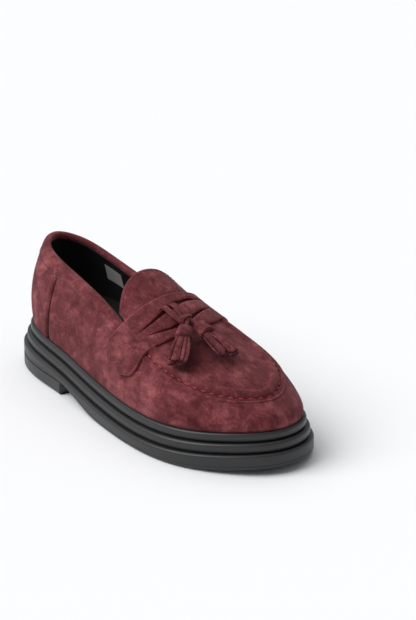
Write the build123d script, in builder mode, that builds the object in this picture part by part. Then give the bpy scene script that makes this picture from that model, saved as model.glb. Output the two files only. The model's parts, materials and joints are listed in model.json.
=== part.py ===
from build123d import *
import math
import os

import numpy as np

# Tassel loafer, right shoe, in millimetres.
# +Z is up, the toe points along -Y and the lateral (outer) side is -X.
# Inside the tables s runs from the heel back towards the toe and w from lateral (-) to medial (+).

# Overall sizes
LAST_LENGTH = 265.0        # feather line, heel back to toe tip
LAST_WIDTH = 94.0          # feather line across the ball
QUARTER_HEIGHT = 55.5      # topline above the feather line at the heel back
HEEL_STACK = 31.5          # ground to feather line at the heel
FORE_STACK = 22.5          # ground to feather line at the ball
TOE_SPRING = 5.0           # extra lift of the feather line at the toe tip

# The last's own sizes, which the tables below were drawn at
DRAWN_LENGTH, DRAWN_WIDTH, DRAWN_HEIGHT = 265.0, 94.0, 55.5

# Layers of the upper
UPPER_THICKNESS = 1.4
STIFFENER_THICKNESS = 0.8
COUNTER_THICKNESS = 0.5
LINING_THICKNESS = 0.8
LAYER_GAP = 0.25
BINDING_GAP = 0.4          # binding to the lining inside it
FLANGE_WIDTH = 10.0        # lasting margin turned in under the foot
BINDING_THICKNESS = 0.9
BINDING_OUTER = 7.0        # height of the binding on the outside
BINDING_INNER = 4.0        # height of the binding on the lining side
APRON_THICKNESS = 1.5
TONGUE_THICKNESS = 1.6

# Sole
RAND_HEIGHT = 6.5
MIDSOLE_HEIGHT = 7.0
OUTSOLE_WAIST = 9.0        # outsole thickness over the heel block
RAND_REACH = 2.5           # how far each layer stands out from the feather line
MIDSOLE_REACH = 5.0
OUTSOLE_REACH = 7.5
RAND_WIDTH = 14.5
HEEL_LENGTH = 79.0         # heel back of the feather line to the heel breast
SOLE_GAP = 0.1
GROOVE_DEPTH = 1.2
GROOVE_WIDTH = 2.0
GROOVE_PITCH = 9.0
GROOVE_COUNT = 7
HEEL_GROOVES = 3
BOARD_THICKNESS = 1.8
FOOTBED_THICKNESS = 3.7
SOCK_THICKNESS = 1.0
SHANK_WIDTH = 14.0
SHANK_THICKNESS = 1.2

# Saddle strap, bow, knot and tassels
STRAP_THICKNESS = 1.6
STRAP_LIFT = 0.9           # strap's under side over the upper
SLIT_WIDTH = 1.3
BOW_REAR = 154.5           # s of the bow's rear end
BOW_WIDTH = 8.0
BOW_THICKNESS = 1.5
KNOT_PLACE = (172.0, -6.5)   # (s, w) on the crown
KNOT_SIZE = (5.5, 3.6, 3.0)  # half width, half length and half height
CORD_RADIUS = 1.2
HEAD_RADIUS = 5.0
HEAD_CROWN = 2.6           # radius at the head's rounded top
HEAD_LENGTH = 10.5
HEAD_SWELL = 0.3           # extra radius half way down the head
HEAD_START = 1.6           # head's top beyond the cord's end
FRINGE_LENGTH = 25.0
FRINGE_WIDTH = 14.5        # fringe's width and height at its free end
FRINGE_HEIGHT = 9.0
FRINGE_SHAPE = [(0, 0.62, 1.0), (0.5, 0.85, 0.98), (1, 1.0, 0.95)]  # share of length, width and height
KNOT_LIFT = 1.3            # knot and band over the strap
SWING_GAP = 0.35           # clearance between pieces that move past each other
# Tassels: side name, root across from the knot's centre, cord length, bearing from the toe, fall
TASSELS = [("lateral", -2.6, 3.0, -45.0, 23.5), ("medial", 2.6, 3.0, 5.0, 19.0)]

# Shape of the last: feather point (s, w), top edge (s, w, height over feather), bulge of the wall
STATIONS = [
    (0, 0, 4, 0, 55.5, 3.2),
    (7, -19, 12, -14, 54.9, 3.0),
    (34, -33.5, 36.5, -23.4, 51.6, 1.5),
    (74, -38, 75, -27.7, 49.4, 0.5),
    (112, -42.5, 113.5, -31, 45.9, 0.5),
    (150, -47, 151, -35.5, 37.7, 1.5),
    (186, -49, 184.5, -38, 29.7, 2.5),
    (221, -43.5, 217, -32.2, 22.2, 3.0),
    (249, -26, 241, -17.3, 17.6, 3.0),
    (265, 0, 251, 1, 15.9, 2.6),
    (257, 24, 247, 14.5, 17.7, 1.8),
    (231, 40, 227, 30.2, 23.3, 1.4),
    (194, 45, 193, 37.2, 31.3, 1.5),
    (156, 39, 157, 34.6, 37.7, 1.2),
    (116, 32, 116.5, 29, 40.7, 0.5),
    (76, 30.5, 76, 24.8, 41.7, 0.5),
    (34, 31.5, 35.5, 22.2, 45.6, 1.5),
    (7, 19, 12, 14, 51.7, 3.0),
]
TOE_STATION = 9
STATION_COUNT = len(STATIONS)
# Height of the feather line, as (s, height)
FEATHER = [
    (0, HEEL_STACK),
    (50, HEEL_STACK - 1.5),
    (100, (HEEL_STACK + 2 * FORE_STACK) / 3),
    (150, FORE_STACK),
    (200, FORE_STACK),
    (240, FORE_STACK + TOE_SPRING / 2),
    (264, FORE_STACK + TOE_SPRING),
]
# Ridge of the apron and tongue, as (s, height over the feather line)
CROWN = [(104, 73.8), (122, 68.2), (140, 60.2), (160, 50.6), (185, 40.7), (215, 31.3), (238, 23.2),
         (251, 17.4)]
LINING_LATERAL, LINING_MEDIAL = 4.7, 13.5
GRID = 1 / 3               # spacing of the wall sections, in stations
ARCH_POWER = 2.2           # roundness of the apron across the foot
# Seams, as stations round the last
LATERAL_SEAM = 2.37
STRAP_SEAM = 13.2
MEDIAL_SEAM = 15.6
# Strap edges, as (girth place, rear s, front s); 0 is the crown, 1 the top edge, 2 the feather line
STRAP = [(-1.52, 134, 162), (-1.35, 131.5, 169), (-1.15, 134.5, 171), (-0.9, 139, 170.5), (-0.65, 142, 173),
         (-0.3, 143.5, 174), (0, 143.5, 173.5), (0.3, 143, 172), (0.65, 139, 167), (0.9, 134, 160),
         (1.15, 130, 158), (1.4, 128, 156)]
TONGUE_REAR = 119.0
TONGUE_CORNER = 9.0        # how far the tongue's rear corners are rounded off
TUCK = 1.0                 # how far the tongue reaches under the strap
FOLD_GAP = 1.3             # between the tongue and the apron at the fold

length_grade = LAST_LENGTH / DRAWN_LENGTH
width_grade = LAST_WIDTH / DRAWN_WIDTH
height_grade = QUARTER_HEIGHT / DRAWN_HEIGHT


class Curve:
    """Cubic curve through rows of values at rising places, closed on itself when a period is given."""

    def __init__(self, places, rows, period=None):
        self.places = np.array(places, float)
        self.rows = np.array(rows, float).reshape(len(places), -1)
        self.period = period
        count = len(places)
        matrix, right = np.eye(count), np.zeros(self.rows.shape)
        if period:
            self.steps = np.diff(np.append(self.places, self.places[0] + period))
            self.rows = np.vstack([self.rows, self.rows[:1]])
            inner = range(count)
            matrix = np.zeros((count, count))
        else:
            self.steps = np.diff(self.places)
            inner = range(1, count - 1)
        for i in inner:
            before, after = self.steps[i - 1], self.steps[i]
            matrix[i] = 0
            matrix[i, i - 1] += before
            matrix[i, i] += 2 * (before + after)
            matrix[i, (i + 1) % count] += after
            here = self.rows[i]
            slope_after = (self.rows[i + 1] - here) / after
            slope_before = (here - self.rows[(i - 1) % count]) / before
            right[i] = 6 * (slope_after - slope_before)
        self.bends = np.linalg.solve(matrix, right)
        if period:
            self.bends = np.vstack([self.bends, self.bends[:1]])

    def at(self, place):
        if self.period:
            place = (place - self.places[0]) % self.period + self.places[0]
        i = int(np.clip(np.searchsorted(self.places, place, side="right") - 1, 0, len(self.steps) - 1))
        step = self.steps[i]
        past = place - self.places[i]
        left = step - past
        curved = (self.bends[i] * left**3 + self.bends[i + 1] * past**3) / (6 * step)
        straight = (self.rows[i] / step - self.bends[i] * step / 6) * left
        straight = straight + (self.rows[i + 1] / step - self.bends[i + 1] * step / 6) * past
        return curved + straight


def graded(row):
    """One station at the wanted length, width and height."""
    foot_s, foot_w, top_s, top_w, rise, bulge = row
    return (foot_s * length_grade, foot_w * width_grade, top_s * length_grade, top_w * width_grade,
            rise * height_grade, bulge)


stations = [graded(row) for row in STATIONS]
chords = [math.dist(stations[i][:2], stations[(i + 1) % STATION_COUNT][:2]) for i in range(STATION_COUNT)]
girth = np.concatenate([[0], np.cumsum(chords)])
last_ring = Curve(girth[:-1], stations, girth[-1])
feather_curve = Curve([s * length_grade for s, _ in FEATHER], [z for _, z in FEATHER])
crown_curve = Curve([s * length_grade for s, _ in CROWN], [z * height_grade for _, z in CROWN])


def station(t):
    """Station values at place t, counted in stations from the heel back round the lateral side."""
    return last_ring.at(np.interp(t % STATION_COUNT, range(STATION_COUNT + 1), girth))


def feather_height(s):
    return float(feather_curve.at(s)[0])


ring_samples = [station(t) for t in np.linspace(0, STATION_COUNT, 360, endpoint=False)]
MID_S = (max(r[0] for r in ring_samples) + min(r[0] for r in ring_samples)) / 2
MID_W = (max(r[1] for r in ring_samples) + min(r[1] for r in ring_samples)) / 2


def spot(s, w, z):
    """Point of the shoe's frame from a place along, across and above the last."""
    return Vector(w - MID_W, MID_S - s, z)


def inward(t):
    """Level direction from the feather line to the top edge at place t."""
    row = station(t)
    direction = Vector(row[3] - row[1], row[0] - row[2], 0)
    return direction.normalized()


def station_plane(t):
    """Upright plane across the wall at place t: x inwards from the feather line, y up."""
    row = station(t)
    origin = spot(row[0], row[1], feather_height(row[0]))
    return Plane(origin=origin, x_dir=inward(t), z_dir=inward(t).cross(Vector(0, 0, 1)))


def wall_xy(t, share, depth=0.0):
    """Point of the wall in its station plane, at a share of its height and a depth behind the outer face."""
    row = station(t)
    inset = math.dist(row[:2], row[2:4])
    lean = inset * share**2 - 4 * row[5] * share * (1 - share)
    return (lean + depth, row[4] * share)


def wall_spot(t, share, depth=0.0):
    return station_plane(t).from_local_coords(Vector(*wall_xy(t, share, depth), 0))


def find(value, low, high, wanted):
    """Place between low and high where a steadily changing value is the wanted one."""
    rising = value(high) > value(low)
    for _ in range(40):
        middle = (low + high) / 2
        if (value(middle) < wanted) == rising:
            low = middle
        else:
            high = middle
    return (low + high) / 2


def side_place(s, share, side):
    """Place round the last where the wall passes s at a share of its height, on side -1 or 1."""
    low, high = (0.3, TOE_STATION - 0.3) if side < 0 else (STATION_COUNT - 0.3, TOE_STATION + 0.3)
    return find(lambda t: MID_S - wall_spot(t, share).Y, low, high, s)


def arch_spot(s, u):
    """Point on the outside of the apron or tongue, from the lateral edge (-1) to the medial edge (1)."""
    lateral = wall_spot(side_place(s, 1, -1), 1)
    medial = wall_spot(side_place(s, 1, 1), 1)
    crown = feather_height(s) + float(crown_curve.at(s)[0])
    share = (u + 1) / 2
    edge_height = lateral.Z + (medial.Z - lateral.Z) * share
    rise = crown - (lateral.Z + medial.Z) / 2
    across = lateral.X + (medial.X - lateral.X) * share
    return Vector(across, MID_S - s, edge_height + rise * (1 - abs(u) ** ARCH_POWER))


def body_spot(s, v):
    """Point on the outside of the upper: |v| up to 1 over the top, 1 to 2 down the wall."""
    if abs(v) <= 1:
        return arch_spot(s, v)
    side = -1 if v < 0 else 1
    return wall_spot(side_place(s, 2 - abs(v), side), 2 - abs(v))


def body_normal(s, v):
    """Direction straight out of the upper."""
    along = body_spot(s + 1, v) - body_spot(s - 1, v)
    across = body_spot(s, v + 0.03) - body_spot(s, v - 0.03)
    return across.cross(along).normalized() * -1


def steps(low, high, spacing):
    """Even places from low to high, no further apart than the spacing."""
    return [float(x) for x in np.linspace(low, high, max(2, math.ceil(abs(high - low) / spacing) + 1))]


def ring_places(start, end):
    """Section places from start to end, on one grid shared by all layers of the wall."""
    inner = np.arange(math.ceil(start / GRID), math.floor(end / GRID) + 1) * GRID
    return [start] + [float(t) for t in inner if start + GRID / 3 < t < end - GRID / 3] + [end]


def finish(build, label):
    build.part.label = label
    export_step(build.part, f"parts/{label}.step")


os.makedirs("parts", exist_ok=True)

# ---- walls of the upper ------------------------------------------------------------------------
WALL_SHARES = [0.0, 0.2, 0.45, 0.7, 0.88, 1.0]
UNDER_APRON_SHARES = [0.0, 0.2, 0.45, 0.7, 0.86]
stiffener_depth = UPPER_THICKNESS + LAYER_GAP
lining_depth = stiffener_depth + STIFFENER_THICKNESS + LAYER_GAP
wall_depth = lining_depth + LINING_THICKNESS


def layer_face(t, shares, depth, thickness, floor=0.0, flange=0.0):
    """Section of one layer of the wall, with a margin turned in at the bottom when flange is set."""
    outer = [wall_xy(t, share, depth) for share in shares]
    inner = [wall_xy(t, share, depth + thickness) for share in shares]
    plane = station_plane(t)
    if flange:
        rise = station(t)[4]
        outer[0] = wall_xy(t, floor / rise, depth)
        inner[0] = wall_xy(t, (floor + thickness) / rise, depth + thickness)
        margin = plane.from_local_coords(Vector(flange, 0, 0))
        drop = feather_height(MID_S - margin.Y) - margin.Z
    with BuildSketch(plane) as section:
        with BuildLine():
            Spline(*outer)
            Line(outer[-1], inner[-1])
            Spline(*inner)
            if flange:
                Polyline(inner[0], (flange, floor + thickness + drop), (flange, floor + drop), outer[0])
            else:
                Line(inner[0], outer[0])
        make_face()
    return section.sketch.face()


def wall_layer(label, start, end, shares, depth, thickness, floor=0.0, flange=0.0):
    """One layer of the wall from place start to place end round the last."""
    with BuildPart() as layer:
        loft([layer_face(t, shares, depth, thickness, floor, flange) for t in ring_places(start, end)])
    finish(layer, label)


upper_floor = 0.05
lining_floor = upper_floor + UPPER_THICKNESS + LAYER_GAP
wall_layer("vamp_wall", LATERAL_SEAM, STRAP_SEAM, WALL_SHARES, 0, UPPER_THICKNESS, upper_floor, FLANGE_WIDTH)
wall_layer("medial_quarter", STRAP_SEAM, MEDIAL_SEAM, WALL_SHARES, 0, UPPER_THICKNESS, upper_floor,
           FLANGE_WIDTH)
wall_layer("heel_panel", MEDIAL_SEAM, LATERAL_SEAM + STATION_COUNT, WALL_SHARES, 0, UPPER_THICKNESS,
           upper_floor, FLANGE_WIDTH)
wall_layer("vamp_lining", LINING_LATERAL, LINING_MEDIAL, UNDER_APRON_SHARES, lining_depth,
           LINING_THICKNESS, lining_floor, FLANGE_WIDTH)
wall_layer("quarter_lining", LINING_MEDIAL, LINING_LATERAL + STATION_COUNT, WALL_SHARES, lining_depth,
           LINING_THICKNESS, lining_floor, FLANGE_WIDTH)
STIFF_SHARES = [0.12, 0.2, 0.45, 0.7, 0.85]
COUNTER_PLACES = (16, 2 + STATION_COUNT)
PUFF_PLACES = (7.2, 10.8)
LABEL_PLACES, LABEL_SHARES, LABEL_THICKNESS = (15.66, 16.2), [0.52, 0.64, 0.76], 0.4
wall_layer("heel_counter", *COUNTER_PLACES, STIFF_SHARES, stiffener_depth, COUNTER_THICKNESS)
wall_layer("toe_puff", *PUFF_PLACES, STIFF_SHARES, stiffener_depth, STIFFENER_THICKNESS)
wall_layer("size_label", *LABEL_PLACES, LABEL_SHARES, wall_depth + LAYER_GAP, LABEL_THICKNESS)


def outline(distance, share=0.0):
    """Closed line round the last, a distance outside the wall at a share of its height."""
    places = np.arange(0, STATION_COUNT, 0.5)
    return [wall_spot(t, share, -distance) for t in places]


def plan_face(points):
    """Face inside a closed line, seen from above."""
    with BuildSketch(Plane.XY) as plan:
        with BuildLine():
            Spline(*[(p.X, p.Y) for p in points], periodic=True)
        make_face()
    return plan.sketch.face()


# ---- topline binding ---------------------------------------------------------------------------
BINDING_LATERAL, BINDING_MEDIAL = 4.5, 13.72
binding_out = -LAYER_GAP - BINDING_THICKNESS
binding_in = wall_depth + BINDING_GAP + BINDING_THICKNESS


def binding_face(t):
    """Folded strip over the top edge at place t."""
    rise = station(t)[4]
    leg, hem = 1 - BINDING_OUTER / rise, 1 - BINDING_INNER / rise
    low, high = LAYER_GAP, LAYER_GAP + BINDING_THICKNESS
    depths = (binding_out, binding_in, wall_depth + BINDING_GAP, -LAYER_GAP)
    fold = [(x, y + lift) for (x, y), lift in zip([wall_xy(t, 1, d) for d in depths], (high, high, low, low))]
    with BuildSketch(station_plane(t)) as section:
        with BuildLine():
            Polyline(wall_xy(t, leg, binding_out), fold[0], fold[1], wall_xy(t, hem, binding_in),
                     wall_xy(t, hem, wall_depth + BINDING_GAP), fold[2], fold[3],
                     wall_xy(t, leg, -LAYER_GAP), close=True)
        make_face()
    return section.sketch.face()


with BuildPart() as topline_binding:
    loft([binding_face(t) for t in ring_places(BINDING_MEDIAL, BINDING_LATERAL + STATION_COUNT)])
finish(topline_binding, "topline_binding")

# ---- apron and tongue --------------------------------------------------------------------------
ARCH_PLACES = [-1, -0.85, -0.6, -0.3, 0, 0.3, 0.6, 0.85, 1]
APRON_START, APRON_FRONT = 128.0, 249.0
TONGUE_FRONT = 152.0
TONGUE_WIDTH = 62.0
STRIP_STEP = 9.0
FOLD_REACH = 0.9           # girth place up to which the fold follows the strap's rear edge
TALL = 200.0


def arch_face(s, depth, thickness):
    """Upright section of a layer of the arch across the foot at s."""
    top = [arch_spot(s, u) for u in ARCH_PLACES]
    outer = [(p.X, p.Z - depth) for p in top]
    inner = [(x, z - thickness) for x, z in outer]
    with BuildSketch(Plane.XZ.offset(s - MID_S)) as section:
        with BuildLine():
            Spline(*outer)
            Line(outer[-1], inner[-1])
            Spline(*inner)
            Line(inner[0], outer[0])
        make_face()
    return section.sketch.face()


def graded_s(s):
    return s * length_grade


def front_region(shift):
    """Plan face of everything in front of the strap's rear edge, moved towards the toe."""
    row = [(v, rear) for v, rear, _ in STRAP if abs(v) <= FOLD_REACH]
    edge = [(p.X, p.Y) for p in [arch_spot(graded_s(rear) + shift, v) for v, rear in row]]
    with BuildSketch(Plane.XY) as plan:
        with BuildLine():
            Spline(*edge)
            Polyline(edge[-1], (TALL, edge[-1][1]), (TALL, -TALL), (-TALL, -TALL), (-TALL, edge[0][1]),
                     edge[0])
        make_face()
    return plan.sketch.face()


def apron_layer(label, depth, thickness, inset):
    """Layer of the arch in front of the fold line, inside the top edge."""
    rows = steps(graded_s(APRON_START), graded_s(APRON_FRONT), STRIP_STEP)
    with BuildPart() as layer:
        loft([arch_face(s, depth, thickness) for s in rows])
        extrude(plan_face(outline(-inset, 1)), amount=TALL, mode=Mode.INTERSECT)
        extrude(front_region(TUCK + FOLD_GAP), amount=TALL, mode=Mode.INTERSECT)
    finish(layer, label)


def tongue_layer(label, depth, thickness, inset):
    """Layer of the arch behind the fold line, with rounded rear corners."""
    rows = steps(graded_s(TONGUE_REAR) - TONGUE_CORNER / 2, graded_s(TONGUE_FRONT), STRIP_STEP)
    with BuildPart() as layer:
        loft([arch_face(s, depth, thickness) for s in rows])
        extrude(plan_face(outline(-inset, 1)), amount=TALL, mode=Mode.INTERSECT)
        length = 2 * (graded_s(TONGUE_FRONT) - graded_s(TONGUE_REAR))
        with BuildSketch(Plane.XY):
            with Locations((0, MID_S - graded_s(TONGUE_FRONT))):
                RectangleRounded(TONGUE_WIDTH * width_grade, length, TONGUE_CORNER)
        extrude(amount=TALL, mode=Mode.INTERSECT)
        extrude(front_region(TUCK), amount=TALL, mode=Mode.SUBTRACT)
    finish(layer, label)


under_apron = APRON_THICKNESS + LAYER_GAP
apron_layer("apron", 0, APRON_THICKNESS, UPPER_THICKNESS + LAYER_GAP)
apron_layer("apron_lining", under_apron, LINING_THICKNESS, wall_depth + LAYER_GAP)
tongue_inset = binding_in + SWING_GAP
tongue_layer("tongue", 0, TONGUE_THICKNESS, tongue_inset)
tongue_layer("tongue_lining", TONGUE_THICKNESS, LINING_THICKNESS, tongue_inset)

# ---- saddle strap ------------------------------------------------------------------------------
# Slits across the strap, as (girth place, s)
REAR_SLIT = [(-0.84, 155.4), (-0.51, 155.2), (-0.1, 152.4), (0.28, 149.7), (0.66, 146)]
LATERAL_SLIT = [(-0.76, 162.2), (-0.57, 165.5), (-0.32, 167.2)]
MEDIAL_SLIT = [(0.24, 162.0), (0.45, 158.0), (0.64, 154.0)]
SLIT_NARROW = 0.2          # half width of a slit at its ends


def strap_face(v, rear, front):
    """Section of the strap along the foot at girth place v."""
    rear, front = graded_s(rear), graded_s(front)
    middle = (rear + front) / 2
    under = [body_spot(s, v) + body_normal(s, v) * STRAP_LIFT for s in (rear, middle, front)]
    along = (under[2] - under[0]).normalized()
    normal = body_normal(middle, v)
    plane = Plane(origin=under[0], x_dir=along, z_dir=along.cross(normal))
    inner = [plane.to_local_coords(p) for p in under]
    inner = [(p.X, p.Y) for p in inner]
    outer = [(x, y + STRAP_THICKNESS) for x, y in inner]
    with BuildSketch(plane) as section:
        with BuildLine():
            Spline(*inner)
            Line(inner[-1], outer[-1])
            Spline(*outer)
            Line(outer[0], inner[0])
        make_face()
    return section.sketch.face()


def slit_face(points):
    """Plan face of a slit that narrows towards both ends."""
    line = [arch_spot(graded_s(s), v) for v, s in points]
    half = [SLIT_NARROW] + [SLIT_WIDTH / 2] * (len(line) - 2) + [SLIT_NARROW]
    rear = [(p.X, p.Y + h) for p, h in zip(line, half)]
    front = [(p.X, p.Y - h) for p, h in zip(line, half)]
    with BuildSketch(Plane.XY) as plan:
        with BuildLine():
            Spline(*rear)
            Line(rear[-1], front[-1])
            Spline(*front)
            Line(front[0], rear[0])
        make_face()
    return plan.sketch.face()


with BuildPart() as saddle_strap:
    loft([strap_face(*row) for row in STRAP])
    for slit in (REAR_SLIT, LATERAL_SLIT, MEDIAL_SLIT):
        extrude(slit_face(slit), amount=TALL, mode=Mode.SUBTRACT)
finish(saddle_strap, "saddle_strap")

# ---- bow, knot, cords and tassels --------------------------------------------------------------
knot_ground = arch_spot(graded_s(KNOT_PLACE[0]), 0)
strap_top = STRAP_LIFT + STRAP_THICKNESS
knot_x = KNOT_PLACE[1] * width_grade - MID_W
knot_centre = Vector(knot_x, knot_ground.Y, knot_ground.Z + strap_top + KNOT_LIFT + KNOT_SIZE[2])
root_y = knot_centre.Y - KNOT_SIZE[1] - CORD_RADIUS - SWING_GAP
root_z = knot_centre.Z

with BuildPart() as knot:
    with BuildSketch(Plane.XZ.offset(-knot_centre.Y)):
        with Locations((knot_centre.X, knot_centre.Z)):
            Ellipse(KNOT_SIZE[0], KNOT_SIZE[2])
    extrude(amount=KNOT_SIZE[1], both=True)
    fillet(knot.edges(), radius=KNOT_SIZE[2] / 2)
finish(knot, "knot")


def bow_face(s):
    """Section across the band that gathers the strap, at s."""
    ground = arch_spot(s, 0)
    low = ground.Z + strap_top + KNOT_LIFT
    with BuildSketch(Plane.XZ.offset(s - MID_S)) as section:
        with Locations((knot_x, low + BOW_THICKNESS / 2)):
            RectangleRounded(BOW_WIDTH, BOW_THICKNESS, BOW_THICKNESS / 3)
    return section.sketch.face()


with BuildPart() as bow:
    bow_front = MID_S - knot_centre.Y - KNOT_SIZE[1] - SWING_GAP
    loft([bow_face(s) for s in steps(graded_s(BOW_REAR), bow_front, STRIP_STEP / 2)])
finish(bow, "bow")


def tassel_frame(across, bearing, fall):
    """Plane at a cord root: x along the hanging tassel, z out of the swing plane."""
    bearing, fall = math.radians(bearing), math.radians(fall)
    level = Vector(math.sin(bearing), -math.cos(bearing), 0)
    along = level * math.cos(fall) - Vector(0, 0, math.sin(fall))
    out = level * math.sin(fall) + Vector(0, 0, math.cos(fall))
    return Plane(origin=(knot_centre.X + across, root_y, root_z), x_dir=along, z_dir=out)


for side, across, cord_length, bearing, fall in TASSELS:
    root = tassel_frame(across, bearing, fall)
    tip = Plane(origin=root.from_local_coords(Vector(cord_length, 0, 0)), x_dir=root.x_dir, z_dir=root.z_dir)
    with BuildPart() as cord:
        with BuildSketch(root):
            with BuildLine():
                Polyline((-CORD_RADIUS, 0), (cord_length + CORD_RADIUS, 0))
                ThreePointArc((cord_length + CORD_RADIUS, 0), (cord_length, CORD_RADIUS),
                              (cord_length - CORD_RADIUS / 2, CORD_RADIUS * math.sin(math.radians(60))))
                Line((cord_length - CORD_RADIUS / 2, CORD_RADIUS * math.sin(math.radians(60))),
                     (CORD_RADIUS / 2, CORD_RADIUS * math.sin(math.radians(60))))
                ThreePointArc((CORD_RADIUS / 2, CORD_RADIUS * math.sin(math.radians(60))), (0, CORD_RADIUS),
                              (-CORD_RADIUS, 0))
            make_face()
        revolve(axis=Axis(root.origin, root.x_dir))
    finish(cord, f"{side}_cord")
    with BuildPart() as head:
        top, end = HEAD_START, HEAD_START + HEAD_LENGTH
        with BuildSketch(tip):
            with BuildLine():
                Polyline((end, HEAD_RADIUS), (end, 0), (top, 0), (top, HEAD_CROWN))
                Spline((top, HEAD_CROWN), ((top + end) / 2, HEAD_RADIUS + HEAD_SWELL), (end, HEAD_RADIUS))
            make_face()
        revolve(axis=Axis(tip.origin, tip.x_dir))
    finish(head, f"{side}_tassel_head")
    with BuildPart() as fringe:
        start = HEAD_START + HEAD_LENGTH
        for share, width, height in FRINGE_SHAPE:
            place = Plane(origin=tip.from_local_coords(Vector(start + share * FRINGE_LENGTH, 0, 0)),
                          x_dir=tip.y_dir, z_dir=tip.x_dir)
            with BuildSketch(place):
                Ellipse(FRINGE_WIDTH / 2 * width, FRINGE_HEIGHT / 2 * height)
        loft()
    finish(fringe, f"{side}_tassel_fringe")

# ---- stitches round the apron ------------------------------------------------------------------
STITCH_LENGTH, STITCH_RADIUS, STITCH_PITCH = 3.0, 0.35, 6.2
STITCH_LATERAL, STITCH_MEDIAL = 5.9, 12.3
STITCH_WALK = 0.02         # spacing of the points that measure the row, in stations
row_places = np.arange(STITCH_LATERAL, STITCH_MEDIAL, STITCH_WALK)
stitch_row = [wall_spot(t, 1, UPPER_THICKNESS / 2) for t in row_places]
stitches = []
travelled = 0.0
for before, after in zip(stitch_row, stitch_row[1:]):
    travelled += (after - before).length
    if travelled >= STITCH_PITCH:
        travelled = 0.0
        lift = Vector(0, 0, STITCH_RADIUS + LAYER_GAP / 5)
        stitches.append(Plane(origin=after + lift, z_dir=after - before))
with BuildPart() as apron_stitching:
    with Locations(*stitches):
        Cylinder(STITCH_RADIUS, STITCH_LENGTH)
finish(apron_stitching, "apron_stitching")

# ---- sole --------------------------------------------------------------------------------------
SIDE_PLACES = [-14, 20, 50, 80, 110, 140, 170, 200, 230, 255, 280]
# Under side of the outsole, as (s, height): over the heel block, up the waist, flat tread, toe spring
HEEL_BLOCK_HEIGHT = HEEL_STACK - RAND_HEIGHT - MIDSOLE_HEIGHT - OUTSOLE_WAIST - 2 * SOLE_GAP
TREAD_START, TREAD_END = 140.0, 205.0
WIDE = 80.0


def side_line(height):
    """Side view of a surface that follows the feather line, a height over it."""
    return [(MID_S - graded_s(s), feather_height(graded_s(s)) + height) for s in SIDE_PLACES]


def side_face(under, over):
    """Side view between two lines that run from heel to toe."""
    with BuildSketch(Plane.YZ) as side:
        with BuildLine():
            Spline(*under)
            Line(under[-1], over[-1])
            Spline(*over)
            Line(over[0], under[0])
        make_face()
    return side.sketch.face()


def cavity_outline(low, high, clearance):
    """Closed line inside the lining, clear of it between two heights over the feather line."""
    points = []
    for t in np.arange(0, STATION_COUNT, 0.5):
        rise = station(t)[4]
        lean = max(wall_xy(t, low / rise)[0], wall_xy(t, high / rise)[0])
        points.append(station_plane(t).from_local_coords(Vector(lean + wall_depth + clearance, 0, 0)))
    return points


def sole_layer(label, points, low, high):
    """Layer with an outline, between two heights over the feather line."""
    with BuildPart() as layer:
        extrude(plan_face(points), amount=TALL)
        extrude(side_face(side_line(low), side_line(high)), amount=WIDE, both=True, mode=Mode.INTERSECT)
    finish(layer, label)


midsole_top = -RAND_HEIGHT - SOLE_GAP
outsole_top = midsole_top - MIDSOLE_HEIGHT - SOLE_GAP
board_floor = lining_floor + LINING_THICKNESS + LAYER_GAP
footbed_floor = board_floor + BOARD_THICKNESS + SOLE_GAP
sock_floor = footbed_floor + FOOTBED_THICKNESS + SOLE_GAP

with BuildPart() as rand:
    extrude(plan_face(outline(RAND_REACH)), amount=TALL)
    extrude(plan_face(outline(RAND_REACH - RAND_WIDTH)), amount=TALL, mode=Mode.SUBTRACT)
    extrude(side_face(side_line(-RAND_HEIGHT), side_line(0)), amount=WIDE, both=True, mode=Mode.INTERSECT)
finish(rand, "rand")

sole_layer("midsole", outline(MIDSOLE_REACH), midsole_top - MIDSOLE_HEIGHT, midsole_top)
sole_layer("insole_board", cavity_outline(board_floor, board_floor + BOARD_THICKNESS, LAYER_GAP),
           board_floor, board_floor + BOARD_THICKNESS)
sole_layer("footbed", cavity_outline(footbed_floor, sock_floor, LAYER_GAP), footbed_floor,
           footbed_floor + FOOTBED_THICKNESS)
sole_layer("sock_lining", cavity_outline(sock_floor, sock_floor + SOCK_THICKNESS, LAYER_GAP),
           sock_floor, sock_floor + SOCK_THICKNESS)

SHANK_HEEL, SHANK_BALL = 45.0, 150.0


def shank_space(room, low, high):
    """Strip along the waist with room on each side, between two heights over the feather line."""
    with BuildPart(mode=Mode.PRIVATE) as strip:
        with BuildSketch(Plane.XY):
            with Locations((-MID_W, MID_S - graded_s(SHANK_HEEL + SHANK_BALL) / 2)):
                Rectangle(SHANK_WIDTH + 2 * room, graded_s(SHANK_BALL - SHANK_HEEL) + 2 * room)
        extrude(amount=TALL)
        extrude(side_face(side_line(low), side_line(high)), amount=WIDE, both=True, mode=Mode.INTERSECT)
    return strip.part


shank_top = -RAND_HEIGHT + SHANK_THICKNESS
with BuildPart() as shank:
    add(shank_space(0, -RAND_HEIGHT, shank_top))
finish(shank, "shank")

with BuildPart() as bottom_filler:
    extrude(plan_face(outline(RAND_REACH - RAND_WIDTH - LAYER_GAP)), amount=TALL)
    extrude(side_face(side_line(-RAND_HEIGHT), side_line(board_floor - SOLE_GAP)), amount=WIDE, both=True,
            mode=Mode.INTERSECT)
    add(shank_space(SOLE_GAP, -RAND_HEIGHT - 1, shank_top + SOLE_GAP), mode=Mode.SUBTRACT)
finish(bottom_filler, "bottom_filler")

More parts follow.
